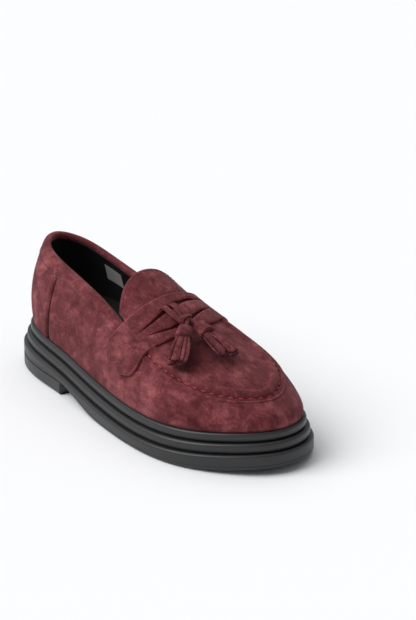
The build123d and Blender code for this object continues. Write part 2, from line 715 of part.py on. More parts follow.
# Under side of the outsole, as (s, share of the heel block's height) and (s, share of the toe spring)
WAIST = [(HEEL_LENGTH + 3, 1), (100, 0.6), (120, 0.2), (TREAD_START, 0)]
TOE_ROLL = [(TREAD_END, 0), (235, 0.2), (272, 1), (SIDE_PLACES[-1], 1.25)]
heel_top = HEEL_BLOCK_HEIGHT + SOLE_GAP
waist_line = [(MID_S - graded_s(s), heel_top * share) for s, share in WAIST]
toe_line = [(MID_S - graded_s(s), TOE_SPRING * share) for s, share in TOE_ROLL]
top_line = side_line(outsole_top)
heel_back = (top_line[0][0], heel_top)


with BuildPart() as outsole:
    extrude(plan_face(outline(OUTSOLE_REACH)), amount=TALL)
    with BuildSketch(Plane.YZ) as outsole_side:
        with BuildLine():
            Line(heel_back, waist_line[0])
            Spline(*waist_line)
            Line(waist_line[-1], toe_line[0])
            Spline(*toe_line)
            Line(toe_line[-1], top_line[-1])
            Spline(*top_line)
            Line(top_line[0], heel_back)
        make_face()
    extrude(outsole_side.sketch, amount=WIDE, both=True, mode=Mode.INTERSECT)
    for i in range(GROOVE_COUNT):
        with Locations((0, MID_S - graded_s(TREAD_START) - GROOVE_PITCH * (i + 0.5), 0)):
            Box(2 * WIDE, GROOVE_WIDTH, 2 * GROOVE_DEPTH, mode=Mode.SUBTRACT)
finish(outsole, "outsole")

with BuildPart() as heel_block:
    extrude(plan_face(outline(OUTSOLE_REACH)), amount=HEEL_BLOCK_HEIGHT)
    split(bisect_by=Plane.XZ.offset(graded_s(HEEL_LENGTH) - MID_S), keep=Keep.BOTTOM)
    for i in range(HEEL_GROOVES):
        with Locations((0, MID_S - graded_s(HEEL_LENGTH) + GROOVE_PITCH * (i + 1), 0)):
            Box(2 * WIDE, GROOVE_WIDTH, 2 * GROOVE_DEPTH, mode=Mode.SUBTRACT)
finish(heel_block, "heel_block")
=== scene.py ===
"""Looks of a burgundy suede tassel loafer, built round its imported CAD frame."""
import json
import math
import random

import bmesh
import bpy
import numpy as np
from mathutils import Matrix, Vector


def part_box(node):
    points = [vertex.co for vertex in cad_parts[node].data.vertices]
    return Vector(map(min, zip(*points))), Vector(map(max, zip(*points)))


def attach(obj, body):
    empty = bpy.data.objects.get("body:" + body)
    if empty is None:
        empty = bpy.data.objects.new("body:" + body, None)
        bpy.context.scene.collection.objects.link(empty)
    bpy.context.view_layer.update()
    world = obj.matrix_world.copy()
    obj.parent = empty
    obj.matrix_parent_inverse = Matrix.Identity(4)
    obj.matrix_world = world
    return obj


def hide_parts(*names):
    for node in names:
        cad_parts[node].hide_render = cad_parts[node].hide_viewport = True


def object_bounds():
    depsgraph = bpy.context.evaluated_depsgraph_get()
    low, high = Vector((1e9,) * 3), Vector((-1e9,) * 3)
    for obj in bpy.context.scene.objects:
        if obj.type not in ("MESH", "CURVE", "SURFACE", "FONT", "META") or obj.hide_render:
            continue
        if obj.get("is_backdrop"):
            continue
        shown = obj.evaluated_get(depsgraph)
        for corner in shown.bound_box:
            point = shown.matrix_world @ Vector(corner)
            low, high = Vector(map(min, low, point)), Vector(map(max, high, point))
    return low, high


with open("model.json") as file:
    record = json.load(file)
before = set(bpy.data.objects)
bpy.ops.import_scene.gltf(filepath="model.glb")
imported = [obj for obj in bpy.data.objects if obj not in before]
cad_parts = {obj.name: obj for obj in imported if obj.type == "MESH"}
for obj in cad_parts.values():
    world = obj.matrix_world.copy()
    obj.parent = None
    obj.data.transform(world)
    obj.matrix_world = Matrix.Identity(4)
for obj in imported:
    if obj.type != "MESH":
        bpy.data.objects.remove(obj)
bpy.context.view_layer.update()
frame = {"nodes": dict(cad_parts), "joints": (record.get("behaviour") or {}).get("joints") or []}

bl_info = {
    "name": "Tassel Loafer",
    "version": (1, 0, 0),
    "blender": (4, 5, 0),
    "location": "View3D > Sidebar > Loafer",
    "description": "Builds the looks of a suede tassel loafer on a thick layered sole",
    "category": "Object",
}

MM = 0.001

# ---- the last, in millimetres: s runs from the heel to the toe, w from lateral (-) to medial (+) ----
# Each station: foot of the wall (s, w), its top (s, w), its height and its outward bulge.
STATIONS = [
    (0, 0, 4, 0, 55.5, 3.2),
    (7, -19, 12, -14, 54.9, 3.0),
    (34, -33.5, 36.5, -23.4, 51.6, 1.5),
    (74, -38, 75, -27.7, 49.4, 0.5),
    (112, -42.5, 113.5, -31, 45.9, 0.5),
    (150, -47, 151, -35.5, 37.7, 1.5),
    (186, -49, 184.5, -38, 29.7, 2.5),
    (221, -43.5, 217, -32.2, 22.2, 3.0),
    (249, -26, 241, -17.3, 17.6, 3.0),
    (265, 0, 251, 1, 15.9, 2.6),
    (257, 24, 247, 14.5, 17.7, 1.8),
    (231, 40, 227, 30.2, 23.3, 1.4),
    (194, 45, 193, 37.2, 31.3, 1.5),
    (156, 39, 157, 34.6, 37.7, 1.2),
    (116, 32, 116.5, 29, 40.7, 0.5),
    (76, 30.5, 76, 24.8, 41.7, 0.5),
    (34, 31.5, 35.5, 22.2, 45.6, 1.5),
    (7, 19, 12, 14, 51.7, 3.0),
]
COUNT = len(STATIONS)
TOE_PLACE = 9.0  # place of the toe tip round the stations
FEATHER = [(0, 31.5), (50, 30), (100, 25.5), (150, 22.5), (200, 22.5), (240, 25), (264, 27.5)]  # (s, height)
CROWN = [(104, 73.8), (122, 68.2), (140, 60.2), (160, 50.6), (185, 40.7), (215, 31.3), (238, 23.2),
         (251, 17.4)]  # (s, height of the ridge over the feather line)
ARCH_POWER = 2.2
# Strap outline: girth place v, its rear edge and its front edge along s.
STRAP = [(-1.52, 134, 162), (-1.35, 131.5, 169), (-1.15, 134.5, 171), (-0.9, 139, 170.5), (-0.65, 142, 173),
         (-0.3, 143.5, 174), (0, 143.5, 173.5), (0.3, 143, 172), (0.65, 139, 167), (0.9, 134, 160),
         (1.15, 130, 158), (1.4, 128, 156)]
LATERAL_SEAM, STRAP_SEAM, MEDIAL_SEAM = 2.37, 13.2, 15.6
APRON_LATERAL, APRON_MEDIAL = 5.05, 12.95


def cubic(places, rows, period=None):
    """Cubic curve through rows of values, as a function of an array of places."""
    x = np.array(places, float)
    y = np.array(rows, float).reshape(len(x), -1)
    count = len(x)
    h = np.diff(np.append(x, x[0] + period)) if period else np.diff(x)
    q = np.vstack([y, y[:1]]) if period else y
    matrix, right = np.eye(count), np.zeros(y.shape)
    for i in (range(count) if period else range(1, count - 1)):
        a, b = h[i - 1], h[i]
        matrix[i] = 0
        matrix[i, i - 1] += a
        matrix[i, i] += 2 * (a + b)
        matrix[i, (i + 1) % count] += b
        right[i] = 6 * ((q[i + 1] - y[i]) / b - (y[i] - y[(i - 1) % count]) / a)
    bend = np.linalg.solve(matrix, right)
    if period:
        bend = np.vstack([bend, bend[:1]])

    def at(place):
        t = np.atleast_1d(np.asarray(place, float))
        if period:
            t = (t - x[0]) % period + x[0]
        i = np.clip(np.searchsorted(x, t, side="right") - 1, 0, len(h) - 1)
        past = (t - x[i])[:, None]
        left = h[i][:, None] - past
        step = h[i][:, None]
        curved = (bend[i] * left**3 + bend[i + 1] * past**3) / (6 * step)
        near, far = q[i] / step - bend[i] * step / 6, q[i + 1] / step - bend[i + 1] * step / 6
        return curved + near * left + far * past

    return at


rows = np.array(STATIONS, float)
chords = np.linalg.norm(np.roll(rows[:, :2], -1, axis=0) - rows[:, :2], axis=1)
girth = np.concatenate([[0], np.cumsum(chords)])
ring_curve = cubic(girth[:-1], rows, girth[-1])
feather_curve = cubic(*zip(*FEATHER))
crown_curve = cubic(*zip(*CROWN))
strap_curve = cubic([v for v, _, _ in STRAP], [(a, b) for _, a, b in STRAP])


def station(t):
    return ring_curve(np.interp(np.atleast_1d(t) % COUNT, range(COUNT + 1), girth))


def feather(s):
    return feather_curve(s)[:, 0]


ring_samples = station(np.linspace(0, COUNT, 720, endpoint=False))
ring_t = np.linspace(0, COUNT, 720, endpoint=False)
MID_S = (ring_samples[:, 0].max() + ring_samples[:, 0].min()) / 2
MID_W = (ring_samples[:, 1].max() + ring_samples[:, 1].min()) / 2


def placed(s, w, z):
    """Points of the frame, in millimetres."""
    return np.stack([w - MID_W, MID_S - s, z], -1)


def wall(t, share, depth=0.0):
    """Points of the wall: place round the last, share of the height, depth behind the outer face."""
    t, share, depth = np.broadcast_arrays(*(np.asarray(value, float) for value in (t, share, depth)))
    shape = t.shape
    t, share, depth = t.ravel(), share.ravel(), depth.ravel()
    r = station(t)
    run = r[:, 2:4] - r[:, :2]
    inset = np.linalg.norm(run, axis=1)
    run = run / inset[:, None]
    lean = inset * share**2 - 4 * r[:, 5] * share * (1 - share) + depth
    flat = r[:, :2] + run * lean[:, None]
    out = placed(flat[:, 0], flat[:, 1], feather(r[:, 0]) + r[:, 4] * share)
    return out.reshape(shape + (3,))


edge_samples = ring_samples[:, 2:5].copy()
edge_samples[:, 2] += feather(ring_samples[:, 0])


def edge_table(side):
    low, high = (0, TOE_PLACE) if side < 0 else (TOE_PLACE, COUNT)
    pick = (ring_t >= low) & (ring_t <= high)
    rows_here = edge_samples[pick]
    order = np.argsort(rows_here[:, 0])
    return rows_here[order]


lateral_edge, medial_edge = edge_table(-1), edge_table(1)


def edges(s):
    """Across and height of the lateral top edge at s, then of the medial one."""
    lw = np.interp(s, lateral_edge[:, 0], lateral_edge[:, 1])
    lz = np.interp(s, lateral_edge[:, 0], lateral_edge[:, 2])
    mw = np.interp(s, medial_edge[:, 0], medial_edge[:, 1])
    mz = np.interp(s, medial_edge[:, 0], medial_edge[:, 2])
    return lw, lz, mw, mz


def arch_height(s, u):
    _, lz, _, mz = edges(s)
    crown = feather(np.ravel(s)).reshape(np.shape(s)) + crown_curve(np.ravel(s))[:, 0].reshape(np.shape(s))
    base = lz + (mz - lz) * (u + 1) / 2
    return base + (crown - (lz + mz) / 2) * (1 - np.abs(np.clip(u, -1, 1)) ** ARCH_POWER)


def arch(s, u, lift=0.0):
    """Points over the top of the foot, from the lateral edge (-1) to the medial edge (1)."""
    s, u = np.broadcast_arrays(np.asarray(s, float), np.asarray(u, float))
    lw, _, mw, _ = edges(s)
    return placed(s, (lw + mw) / 2 + u * (mw - lw) / 2, arch_height(s, u) + lift)


TABLE_SHARES = np.linspace(0.2, 1.0, 81)
TABLE_S = np.arange(70.0, 236.0, 1.0)


def wall_table(side):
    """Points of one wall by share of the height and by s."""
    t = np.linspace(1.5, 8.6, 500) if side < 0 else np.linspace(16.5, 9.4, 500)
    table = np.zeros((len(TABLE_SHARES), len(TABLE_S), 3))
    for i, share in enumerate(TABLE_SHARES):
        line = wall(t, share)
        here = MID_S - line[:, 1]
        for axis in range(3):
            table[i, :, axis] = np.interp(TABLE_S, here, line[:, axis])
    return table


WALL_TABLES = {side: wall_table(side) for side in (-1, 1)}


def on_wall(table, s, share):
    i = np.clip((share - TABLE_SHARES[0]) / (TABLE_SHARES[1] - TABLE_SHARES[0]), 0, len(TABLE_SHARES) - 1.001)
    j = np.clip(s - TABLE_S[0], 0, len(TABLE_S) - 1.001)
    a, b = i.astype(int), j.astype(int)
    f, g = (i - a)[..., None], (j - b)[..., None]
    near = table[a, b] * (1 - g) + table[a, b + 1] * g
    far = table[a + 1, b] * (1 - g) + table[a + 1, b + 1] * g
    return near * (1 - f) + far * f


def body(s, v):
    """Points of the upper at s: |v| up to 1 over the top, 1 to 2 down the wall."""
    s, v = np.broadcast_arrays(np.asarray(s, float), np.asarray(v, float))
    out = arch(s, np.clip(v, -1, 1))
    for side in (-1, 1):
        down = (v * side > 1)[..., None]
        out = np.where(down, on_wall(WALL_TABLES[side], s, 2 - np.abs(v)), out)
    return out


def body_normal(s, v):
    """Upward normals of the upper."""
    along = body(s + 1.0, v) - body(s - 1.0, v)
    across = body(s, v + 0.02) - body(s, v - 0.02)
    n = np.cross(along, across)
    n = n / np.linalg.norm(n, axis=-1, keepdims=True)
    return np.where(n[..., 2:3] < 0, -n, n)


# ---- mesh helpers ----------------------------------------------------------------------------
def to_object(name, points, faces, finish, body_name="shoe", merge=0.00002, edge=(), edge_finish=None):
    """Closed mesh from points in millimetres, with its faces turned outwards; edge lists its cut faces."""
    mesh = bpy.data.meshes.new(name)
    mesh.from_pydata([Vector(p) * MM for p in points], [], faces)
    if edge_finish:
        for index in edge:
            mesh.polygons[index].material_index = 1
    work = bmesh.new()
    work.from_mesh(mesh)
    bmesh.ops.remove_doubles(work, verts=work.verts, dist=merge)
    bmesh.ops.recalc_face_normals(work, faces=work.faces)
    work.to_mesh(mesh)
    work.free()
    mesh.polygons.foreach_set("use_smooth", [True] * len(mesh.polygons))
    obj = bpy.data.objects.new(name, mesh)
    bpy.context.scene.collection.objects.link(obj)
    obj.data.materials.append(finish)
    if edge_finish:
        obj.data.materials.append(edge_finish)
    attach(obj, body_name)
    return obj


def grid_faces(rows_n, cols_n, start=0, wrap_rows=False, wrap_cols=False):
    faces = []
    for i in range(rows_n if wrap_rows else rows_n - 1):
        for j in range(cols_n if wrap_cols else cols_n - 1):
            a = start + i * cols_n + j
            b = start + i * cols_n + (j + 1) % cols_n
            c = start + ((i + 1) % rows_n) * cols_n + (j + 1) % cols_n
            d = start + ((i + 1) % rows_n) * cols_n + j
            faces.append((a, b, c, d))
    return faces


def shell_parts(outer, inner):
    """Points and faces of a closed sheet between two grids of the same size."""
    n, m = outer.shape[:2]
    size = n * m
    points = np.concatenate([outer.reshape(-1, 3), inner.reshape(-1, 3)])
    faces = grid_faces(n, m) + [f[::-1] for f in grid_faces(n, m, size)]
    rim = [i * m for i in range(n)] + [(n - 1) * m + j for j in range(1, m)]
    rim += [i * m + m - 1 for i in range(n - 2, -1, -1)] + [j for j in range(m - 2, 0, -1)]
    for a, b in zip(rim, rim[1:] + rim[:1]):
        faces.append((b, a, size + a, size + b))
    return points, faces


def sheet_solid(name, outer, inner, finish, body_name="shoe", edge_finish=None):
    """Closed sheet as a piece, with a finish of its own on its cut edges."""
    points, faces = shell_parts(outer, inner)
    sides = 2 * (outer.shape[0] - 1) * (outer.shape[1] - 1)
    return to_object(name, points, faces, finish, body_name, edge=range(sides, len(faces)),
                     edge_finish=edge_finish)


def join_parts(parts):
    """Points and faces of several parts in one mesh."""
    points, faces, start = [], [], 0
    for p, f in parts:
        points.append(p)
        faces += [tuple(i + start for i in face) for face in f]
        start += len(p)
    return np.concatenate(points), faces


# ---- shader maths ----------------------------------------------------------------------------
class Wire:
    """A socket that takes part in sums and products."""

    def __init__(self, paint, socket):
        self.paint, self.socket = paint, socket

    def _math(self, operation, a, b):
        return self.paint.node("ShaderNodeMath", {"operation": operation}, {0: a, 1: b}).out()

    def __add__(self, other):
        return self._math("ADD", self, other)

    def __sub__(self, other):
        return self._math("SUBTRACT", self, other)

    def __mul__(self, other):
        return self._math("MULTIPLY", self, other)

    __radd__ = __add__
    __rmul__ = __mul__

    def __rsub__(self, other):
        return self._math("SUBTRACT", other, self)


class Step:
    def __init__(self, paint, node):
        self.paint, self.node = paint, node

    def out(self, name=0):
        return Wire(self.paint, self.node.outputs[name])


class Paint:
    """One material's nodes."""

    def __init__(self, name):
        self.material = bpy.data.materials.new(name)
        self.material.use_nodes = True
        self.tree = self.material.node_tree
        self.shader = self.tree.nodes["Principled BSDF"]

    def node(self, kind, settings=None, inputs=None):
        node = self.tree.nodes.new(kind)
        for key, value in (settings or {}).items():
            if key == "stops":
                ramp = node.color_ramp
                while len(ramp.elements) < len(value):
                    ramp.elements.new(0.5)
                for element, (place, colour) in zip(ramp.elements, value):
                    element.position = place
                    element.color = (*colour, 1) if len(colour) == 3 else colour
            else:
                setattr(node, key, value)
        for key, value in (inputs or {}).items():
            self.link(value, node.inputs[key])
        return Step(self, node)

    def link(self, value, socket):
        if isinstance(value, Wire):
            self.tree.links.new(value.socket, socket)
        else:
            socket.default_value = value

    def coords(self):
        return self.node("ShaderNodeTexCoord").out("Object")

    def noise(self, scale, detail=3.0, rough=0.55, stretch=(1, 1, 1), warp=0.0):
        place = self.node("ShaderNodeMapping", {}, {"Vector": self.coords(), "Scale": stretch}).out()
        return self.node("ShaderNodeTexNoise", {"noise_dimensions": "3D"},
                         {"Vector": place, "Scale": scale, "Detail": detail, "Roughness": rough,
                          "Distortion": warp}).out("Fac")

    def ramp(self, value, *stops):
        return self.node("ShaderNodeValToRGB", {"stops": stops}, {"Fac": value}).out("Color")

    def mix(self, share, a, b, blend="MIX"):
        step = self.node("ShaderNodeMix", {"data_type": "RGBA", "blend_type": blend})
        self.link(share, step.node.inputs[0])
        self.link(a if isinstance(a, Wire) else (*a, 1), step.node.inputs[6])
        self.link(b if isinstance(b, Wire) else (*b, 1), step.node.inputs[7])
        return step.out(2)

    def bump(self, height, strength, distance):
        return self.node("ShaderNodeBump", {}, {"Height": height, "Strength": strength,
                                                "Distance": distance}).out("Normal")

    def set(self, **values):
        for key, value in values.items():
            self.link(value, self.shader.inputs[key.replace("_", " ")])
        return self.material


def suede(name, dark, light, blotch=34.0, sheen=0.12):
    """Napped leather: cloudy patches, brushed marks and a fine fibre."""
    paint = Paint(name)
    cloud = paint.noise(blotch, 4.0, 0.62, warp=0.8)
    patch = paint.noise(blotch * 3.1, 4.0, 0.65, (1, 0.7, 1), 0.6)
    brushed = paint.noise(210.0, 3.0, 0.65, (1.5, 0.5, 1), 0.5)
    nap = paint.noise(620.0, 3.0, 0.7, (1.6, 0.7, 1))
    fibre = paint.noise(1700.0, 2.0, 0.7)
    tone = cloud * 0.52 + patch * 0.42 + brushed * 0.3 + nap * 0.24 + fibre * 0.12 - 0.3
    middle = tuple((a * b) ** 0.5 for a, b in zip(dark, light))
    colour = paint.ramp(tone, (0.34, dark), (0.5, middle), (0.69, light))
    normal = paint.bump(fibre * 0.5 + nap * 0.9 + brushed * 0.7, 0.5, 0.0007)
    return paint.set(Base_Color=colour, Roughness=0.94 - nap * 0.05, Normal=normal, Sheen_Weight=sheen,
                     Sheen_Roughness=0.5, Sheen_Tint=(1.0, 0.6, 0.6, 1), Specular_IOR_Level=0.12)


def rubber(name, colour):
    paint = Paint(name)
    haze = paint.noise(30.0, 3.0, 0.5)
    grain = paint.noise(900.0, 2.0, 0.6)
    shade = paint.mix(haze, tuple(c * 0.82 for c in colour), tuple(c * 1.25 for c in colour))
    return paint.set(Base_Color=shade, Roughness=0.36 + haze * 0.16, Normal=paint.bump(grain, 0.12, 0.0003),
                     Specular_IOR_Level=0.5)


def lining(name, colour):
    paint = Paint(name)
    grain = paint.node("ShaderNodeTexVoronoi", {"feature": "F1"}, {"Vector": paint.coords(), "Scale": 900.0})
    haze = paint.noise(60.0, 2.0)
    shade = paint.mix(haze, tuple(c * 0.7 for c in colour), tuple(c * 1.5 for c in colour))
    return paint.set(Base_Color=shade, Roughness=0.5 + haze * 0.12,
                     Normal=paint.bump(grain.out("Distance"), 0.2, 0.0003))


def thread(name, colour):
    paint = Paint(name)
    ply = paint.noise(1800.0, 2.0, 0.6, (1, 1, 0.4))
    shade = paint.mix(ply, tuple(c * 0.6 for c in colour), tuple(min(1, c * 1.3) for c in colour))
    return paint.set(Base_Color=shade, Roughness=0.6, Normal=paint.bump(ply, 0.3, 0.0002))


def patch_cloth(name, colour):
    paint = Paint(name)
    weave = paint.noise(700.0, 3.0, 0.6)
    shade = paint.mix(weave, tuple(c * 0.7 for c in colour), tuple(c * 1.2 for c in colour))
    return paint.set(Base_Color=shade, Roughness=0.7, Normal=paint.bump(weave, 0.2, 0.0002))


MATERIALS = {}


def material(key):
    """The named finish, made once from the panel's colours."""
    if key not in MATERIALS:
        colours = bpy.context.scene.loafer_colours
        dark, light = tuple(colours.suede_dark), tuple(colours.suede_light)
        makers = {
            "suede": lambda: suede("burgundy suede", dark, light),
            "suede_strap": lambda: suede("burgundy suede, strap", tuple(c * 0.95 for c in dark),
                                         tuple(c * 0.9 for c in light), 46.0),
            "suede_trim": lambda: suede("burgundy suede, strips", tuple(c * 0.9 for c in dark),
                                        tuple(c * 0.95 for c in light), 70.0),
            "suede_edge": lambda: suede("pale cut suede", tuple(c * 2.2 for c in dark),
                                        tuple(c * 1.5 for c in light), 90.0),
            # much darker copy of the suede for the fringe strips' end faces: painted shade where the fringe
            # ends curl in away from the light
            "suede_painted_shade": lambda: suede("fringe end painted shade", tuple(c * 0.28 for c in dark),
                                       tuple(c * 0.25 for c in light), 120.0),
            "rubber": lambda: rubber("black sole rubber", tuple(colours.rubber)),
            "lining": lambda: lining("black lining leather", tuple(colours.lining)),
            "thread": lambda: thread("red hand stitch thread", tuple(colours.hand_thread)),
            "seam_thread": lambda: thread("burgundy seam thread", tuple(c * 0.3 for c in dark)),
            "patch": lambda: patch_cloth("plain grey patch", (0.34, 0.34, 0.32)),
        }
        MATERIALS[key] = makers[key]()
    return MATERIALS[key]


# ---- pieces ------------------------------------------------------------------------------------
def places(low, high, step):
    return np.linspace(low, high, max(2, int(math.ceil((high - low) / step)) + 1))


EDGE_STEPS = np.array([0.0, 0.008, 0.018, 0.03, 0.045, 0.06, 0.08, 0.1, 0.13])
WALL_STEP = 0.035       # places between columns of a panel
PANEL_THICKNESS = 1.2
EDGE_SINK, EDGE_FADE = 0.9, 0.045     # a plain panel's edge dips under its neighbour
FOLD_TURN, FOLD_RIDGE, FOLD_PLACE = 0.04, 0.5, 0.06
LIP_SHARE, LIP_FADE = 0.972, 0.022    # ridge of the vamp under the apron's seam
LIP_RUN = 0.4
WALL_SHARES = np.concatenate([np.linspace(-0.012, 0.88, 30), np.linspace(0.9, 1.0, 7)])


def wall_panel(name, start, end, lift=0.0, lip=0.0, folded=False):
    """Suede panel of the wall; a folded panel has its upright edges turned under and standing proud."""
    t = places(start, end, WALL_STEP)
    if folded:
        t = np.unique(np.concatenate([t, start + EDGE_STEPS, end - EDGE_STEPS]))
    else:
        t = np.unique(np.concatenate([t, start + EDGE_STEPS[:4], end - EDGE_STEPS[:4]]))
    t = t[:, None]
    k = WALL_SHARES[None, :]
    run = np.minimum(t - start, end - t)
    if folded:
        rise = np.clip(1 - (1 - np.clip(run / FOLD_TURN, 0, 1)) ** 2, 0, 1)
        out = lift * rise + FOLD_RIDGE * np.exp(-((run - FOLD_PLACE) / EDGE_FADE) ** 2) * rise + 0 * k
    else:
        out = lift - EDGE_SINK * np.exp(-(run / EDGE_FADE) ** 2) + 0 * k
    if lip:
        toe = np.clip((t - APRON_LATERAL) / LIP_RUN, 0, 1) * np.clip((APRON_MEDIAL - t) / LIP_RUN, 0, 1)
        out = out + toe * lip * np.exp(-((k - LIP_SHARE) / LIP_FADE) ** 2)
    return sheet_solid(name, wall(t, k, -out), wall(t, k, PANEL_THICKNESS), material("suede"))


# Section of the binding: height from the top edge, depth behind the outer face, extra height.
BINDING_SECTION = [(-8.0, 0.1, 0), (-7.9, -0.55, 0), (-6.5, -0.8, 0), (-3.5, -1.0, 0), (-1.2, -1.1, 0),
                   (0.0, -0.75, 0.25), (0.0, 0.3, 0.95), (0.0, 1.8, 1.15), (0.0, 3.4, 0.8), (-0.6, 4.4, 0),
                   (-2.2, 4.6, 0), (-4.0, 4.5, 0), (-4.1, 3.3, 0), (-0.4, 3.2, 0), (-0.4, 0.1, 0)]
BINDING_START, BINDING_END = 13.6, 4.62


def topline_binding():
    """Soft folded strip over the top edge."""
    t = places(BINDING_START, BINDING_END + COUNT, 0.04)
    rise = station(t)[:, 4]
    grid = np.zeros((len(t), len(BINDING_SECTION), 3))
    for j, (down, depth, up) in enumerate(BINDING_SECTION):
        grid[:, j] = wall(t, 1 + down / rise, depth)
        grid[:, j, 2] += up
    n, m = grid.shape[:2]
    faces = grid_faces(n, m, 0, False, True)
    faces += [tuple(range(m)), tuple(range((n - 1) * m, n * m))[::-1]]
    return to_object("topline_binding_suede", grid.reshape(-1, 3), faces, material("suede"))


# Profile across the apron's edge: a small ridge, the stitched furrow and a soft roll behind it.
ROLL_START, ROLL_WIDTH, ROLL_HEIGHT = 2.0, 6.6, 2.3
STITCH_INSET, FURROW_DEPTH, FURROW_HALF = 1.7, 1.1, 0.9
RIDGE_INSET, RIDGE_HEIGHT, RIDGE_HALF = 0.35, 0.7, 0.5


def apron_lift(plan):
    """Height added to the apron by its rolled edge and the furrow that holds the stitches."""
    t = np.linspace(APRON_LATERAL - 0.3, APRON_MEDIAL + 0.3, 700)
    edge = wall(t, 1.0)[:, :2]
    flat = plan[..., :2].reshape(-1, 2)
    gap = np.min(np.linalg.norm(flat[:, None] - edge[None], axis=2), axis=1).reshape(plan.shape[:-1])
    across = np.clip(gap - ROLL_START, 0, ROLL_WIDTH) / ROLL_WIDTH
    roll = ROLL_HEIGHT * np.clip(np.sin(np.pi * across), 0, 1) ** 0.8
    groove = -FURROW_DEPTH * np.exp(-((gap - STITCH_INSET) / FURROW_HALF) ** 2)
    ridge = RIDGE_HEIGHT * np.exp(-((gap - RIDGE_INSET) / RIDGE_HALF) ** 2)
    return roll + groove + ridge


APRON_REAR, APRON_FAN = 142.0, 226.0  # rows run across to the fan's start, then spread round the toe
APRON_THICKNESS = 1.5
TOP_END = 250.9                       # just behind the top edge at the toe


def top_place(s, side):
    """Place round the last where its top edge passes s."""
    pick = ring_t <= TOE_PLACE if side < 0 else ring_t >= TOE_PLACE
    here, t = ring_samples[pick, 2], ring_t[pick]
    order = np.argsort(here)
    return float(np.interp(s, here[order], t[order]))


def apron():
    """Plug over the toes with a rolled edge."""
    half = np.concatenate([np.linspace(0, 0.65, 16)[:-1], np.linspace(0.65, 0.9, 20)[:-1],
                           np.linspace(0.9, 1, 22)])
    across = np.concatenate([-half[:0:-1], half])
    back = arch(places(APRON_REAR, APRON_FAN, 1.2)[:, None], across[None, :])
    t = np.linspace(top_place(APRON_FAN, -1), top_place(APRON_FAN, 1), 130)
    rim = wall(t, 1.0)
    middle = arch(np.array([APRON_FAN]), np.array([0.0]))[0]
    plan = middle[None, None, :2] + (rim[:, None, :2] - middle[:2]) * half[None, :, None]
    s = np.clip(MID_S - plan[..., 1], None, TOP_END)
    lw, _, mw, _ = edges(s)
    u = np.clip((plan[..., 0] + MID_W - (lw + mw) / 2) / np.maximum((mw - lw) / 2, 0.5), -1, 1)
    height = arch_height(s, u)
    height[:, -1] = rim[:, 2]
    fan = np.concatenate([plan, height[..., None]], -1)
    parts = []
    for grid in (back, fan):
        top = grid.copy()
        top[..., 2] += apron_lift(grid)
        under = grid.copy()
        under[..., 2] -= APRON_THICKNESS
        n, m = top.shape[:2]
        size = n * m
        faces = grid_faces(n, m) + [f[::-1] for f in grid_faces(n, m, size)]
        columns = (0, m - 1) if grid is back else (m - 1,)
        for j in columns:
            faces += [(i * m + j, (i + 1) * m + j, size + (i + 1) * m + j, size + i * m + j)
                      for i in range(n - 1)]
        if grid is back:
            faces += [(j, j + 1, size + j + 1, size + j) for j in range(m - 1)]
        parts.append((np.concatenate([top.reshape(-1, 3), under.reshape(-1, 3)]), faces))
    points, faces = join_parts(parts)
    return to_object("apron_suede", points, faces, material("suede"), merge=0.00005)


TONGUE_SPAN, TONGUE_REAR, TONGUE_CORNER = 0.9, 118.6, 10.0
TONGUE_PUFF, TONGUE_UNDER, TONGUE_LINING_UNDER = 0.9, -1.5, -2.3


def tongue():
    """Tongue with rounded rear corners over its black lining."""
    u = np.sin(np.linspace(-math.pi / 2, math.pi / 2, 60)) * TONGUE_SPAN
    share = np.linspace(0, 1, 26)
    rear = TONGUE_REAR + TONGUE_CORNER * np.abs(u / TONGUE_SPAN) ** 5
    front = np.interp(u, [v for v, _, _ in STRAP], [a for _, a, _ in STRAP]) + 1.0
    s = rear[:, None] + (front - rear)[:, None] * share[None, :]
    edge = np.minimum(share[None, :] * 26, (1 - np.abs(u[:, None] / TONGUE_SPAN)) * 26)
    puff = TONGUE_PUFF * np.clip(edge / 2.0, 0, 1) ** 0.5 - 0.25 * np.exp(-((edge - 2.6) / 0.5) ** 2)
    top = arch(s, u[:, None], 0.0)
    top[..., 2] += puff - 0.5
    under = arch(s, u[:, None], TONGUE_UNDER)
    face = sheet_solid("tongue_suede", top, under, material("suede"), "tongue_flap", material("suede_edge"))
    lined = sheet_solid("tongue_lining_leather", arch(s, u[:, None], -1.55),
                        arch(s, u[:, None], TONGUE_LINING_UNDER), material("lining"), "tongue_flap")
    return face, lined


REAR_SLIT = cubic([-0.84, -0.51, -0.1, 0.28, 0.66], [155.4, 155.9, 152.4, 149.7, 146.5])
FRONT_SLIT = cubic([-0.78, -0.57, -0.3, 0.18, 0.67], [162.0, 165.6, 168.4, 163.6, 154.5])
REAR_SLIT_ENDS, FRONT_SLIT_ENDS = (-0.84, 0.66), (-0.78, 0.67)
REAR_SLIT_WIDTH, FRONT_SLIT_WIDTH = 3.3, 3.0
STRAP_TOP, STRAP_UNDER, STRAP_SOFT_EDGE = 2.6, 0.7, 1.1  # over the upper; width of its rounded edges
GATHER, BAND_RISE = 1.3, 1.1                             # the knot narrows and lifts the middle band
END_SHAPE = [0, 0.1, 0.3, 0.6, 0.85, 1.0]
LATERAL_END, MEDIAL_END = [-1.24, -1.35, -1.44, -1.5, -1.515, -1.42], [1.3, 1.37, 1.4, 1.4, 1.37, 1.3]
DART = ((143.0, -1.16), (161.0, -1.27))  # fold line on the lateral end, as (s, girth place)
LIP = np.array([0.0, 0.045])
BAND_SHARES = np.concatenate([LIP, np.linspace(0.1, 0.9, 8), 1 - LIP[::-1]])  # across each band
BANDS, STRAP_ROWS = 3, 170
STRAP_START, STRAP_END = -1.52, 1.40
GATHER_PLACE, BAND_MIDDLE = -0.12, -0.1  # girth places of the knot's pinch and of the middle band's rise
END_RUN = 0.035                          # girth run over which the strap's ends roll down
GIRTH_RUN = 22.0                         # millimetres across the dart for one step of girth place
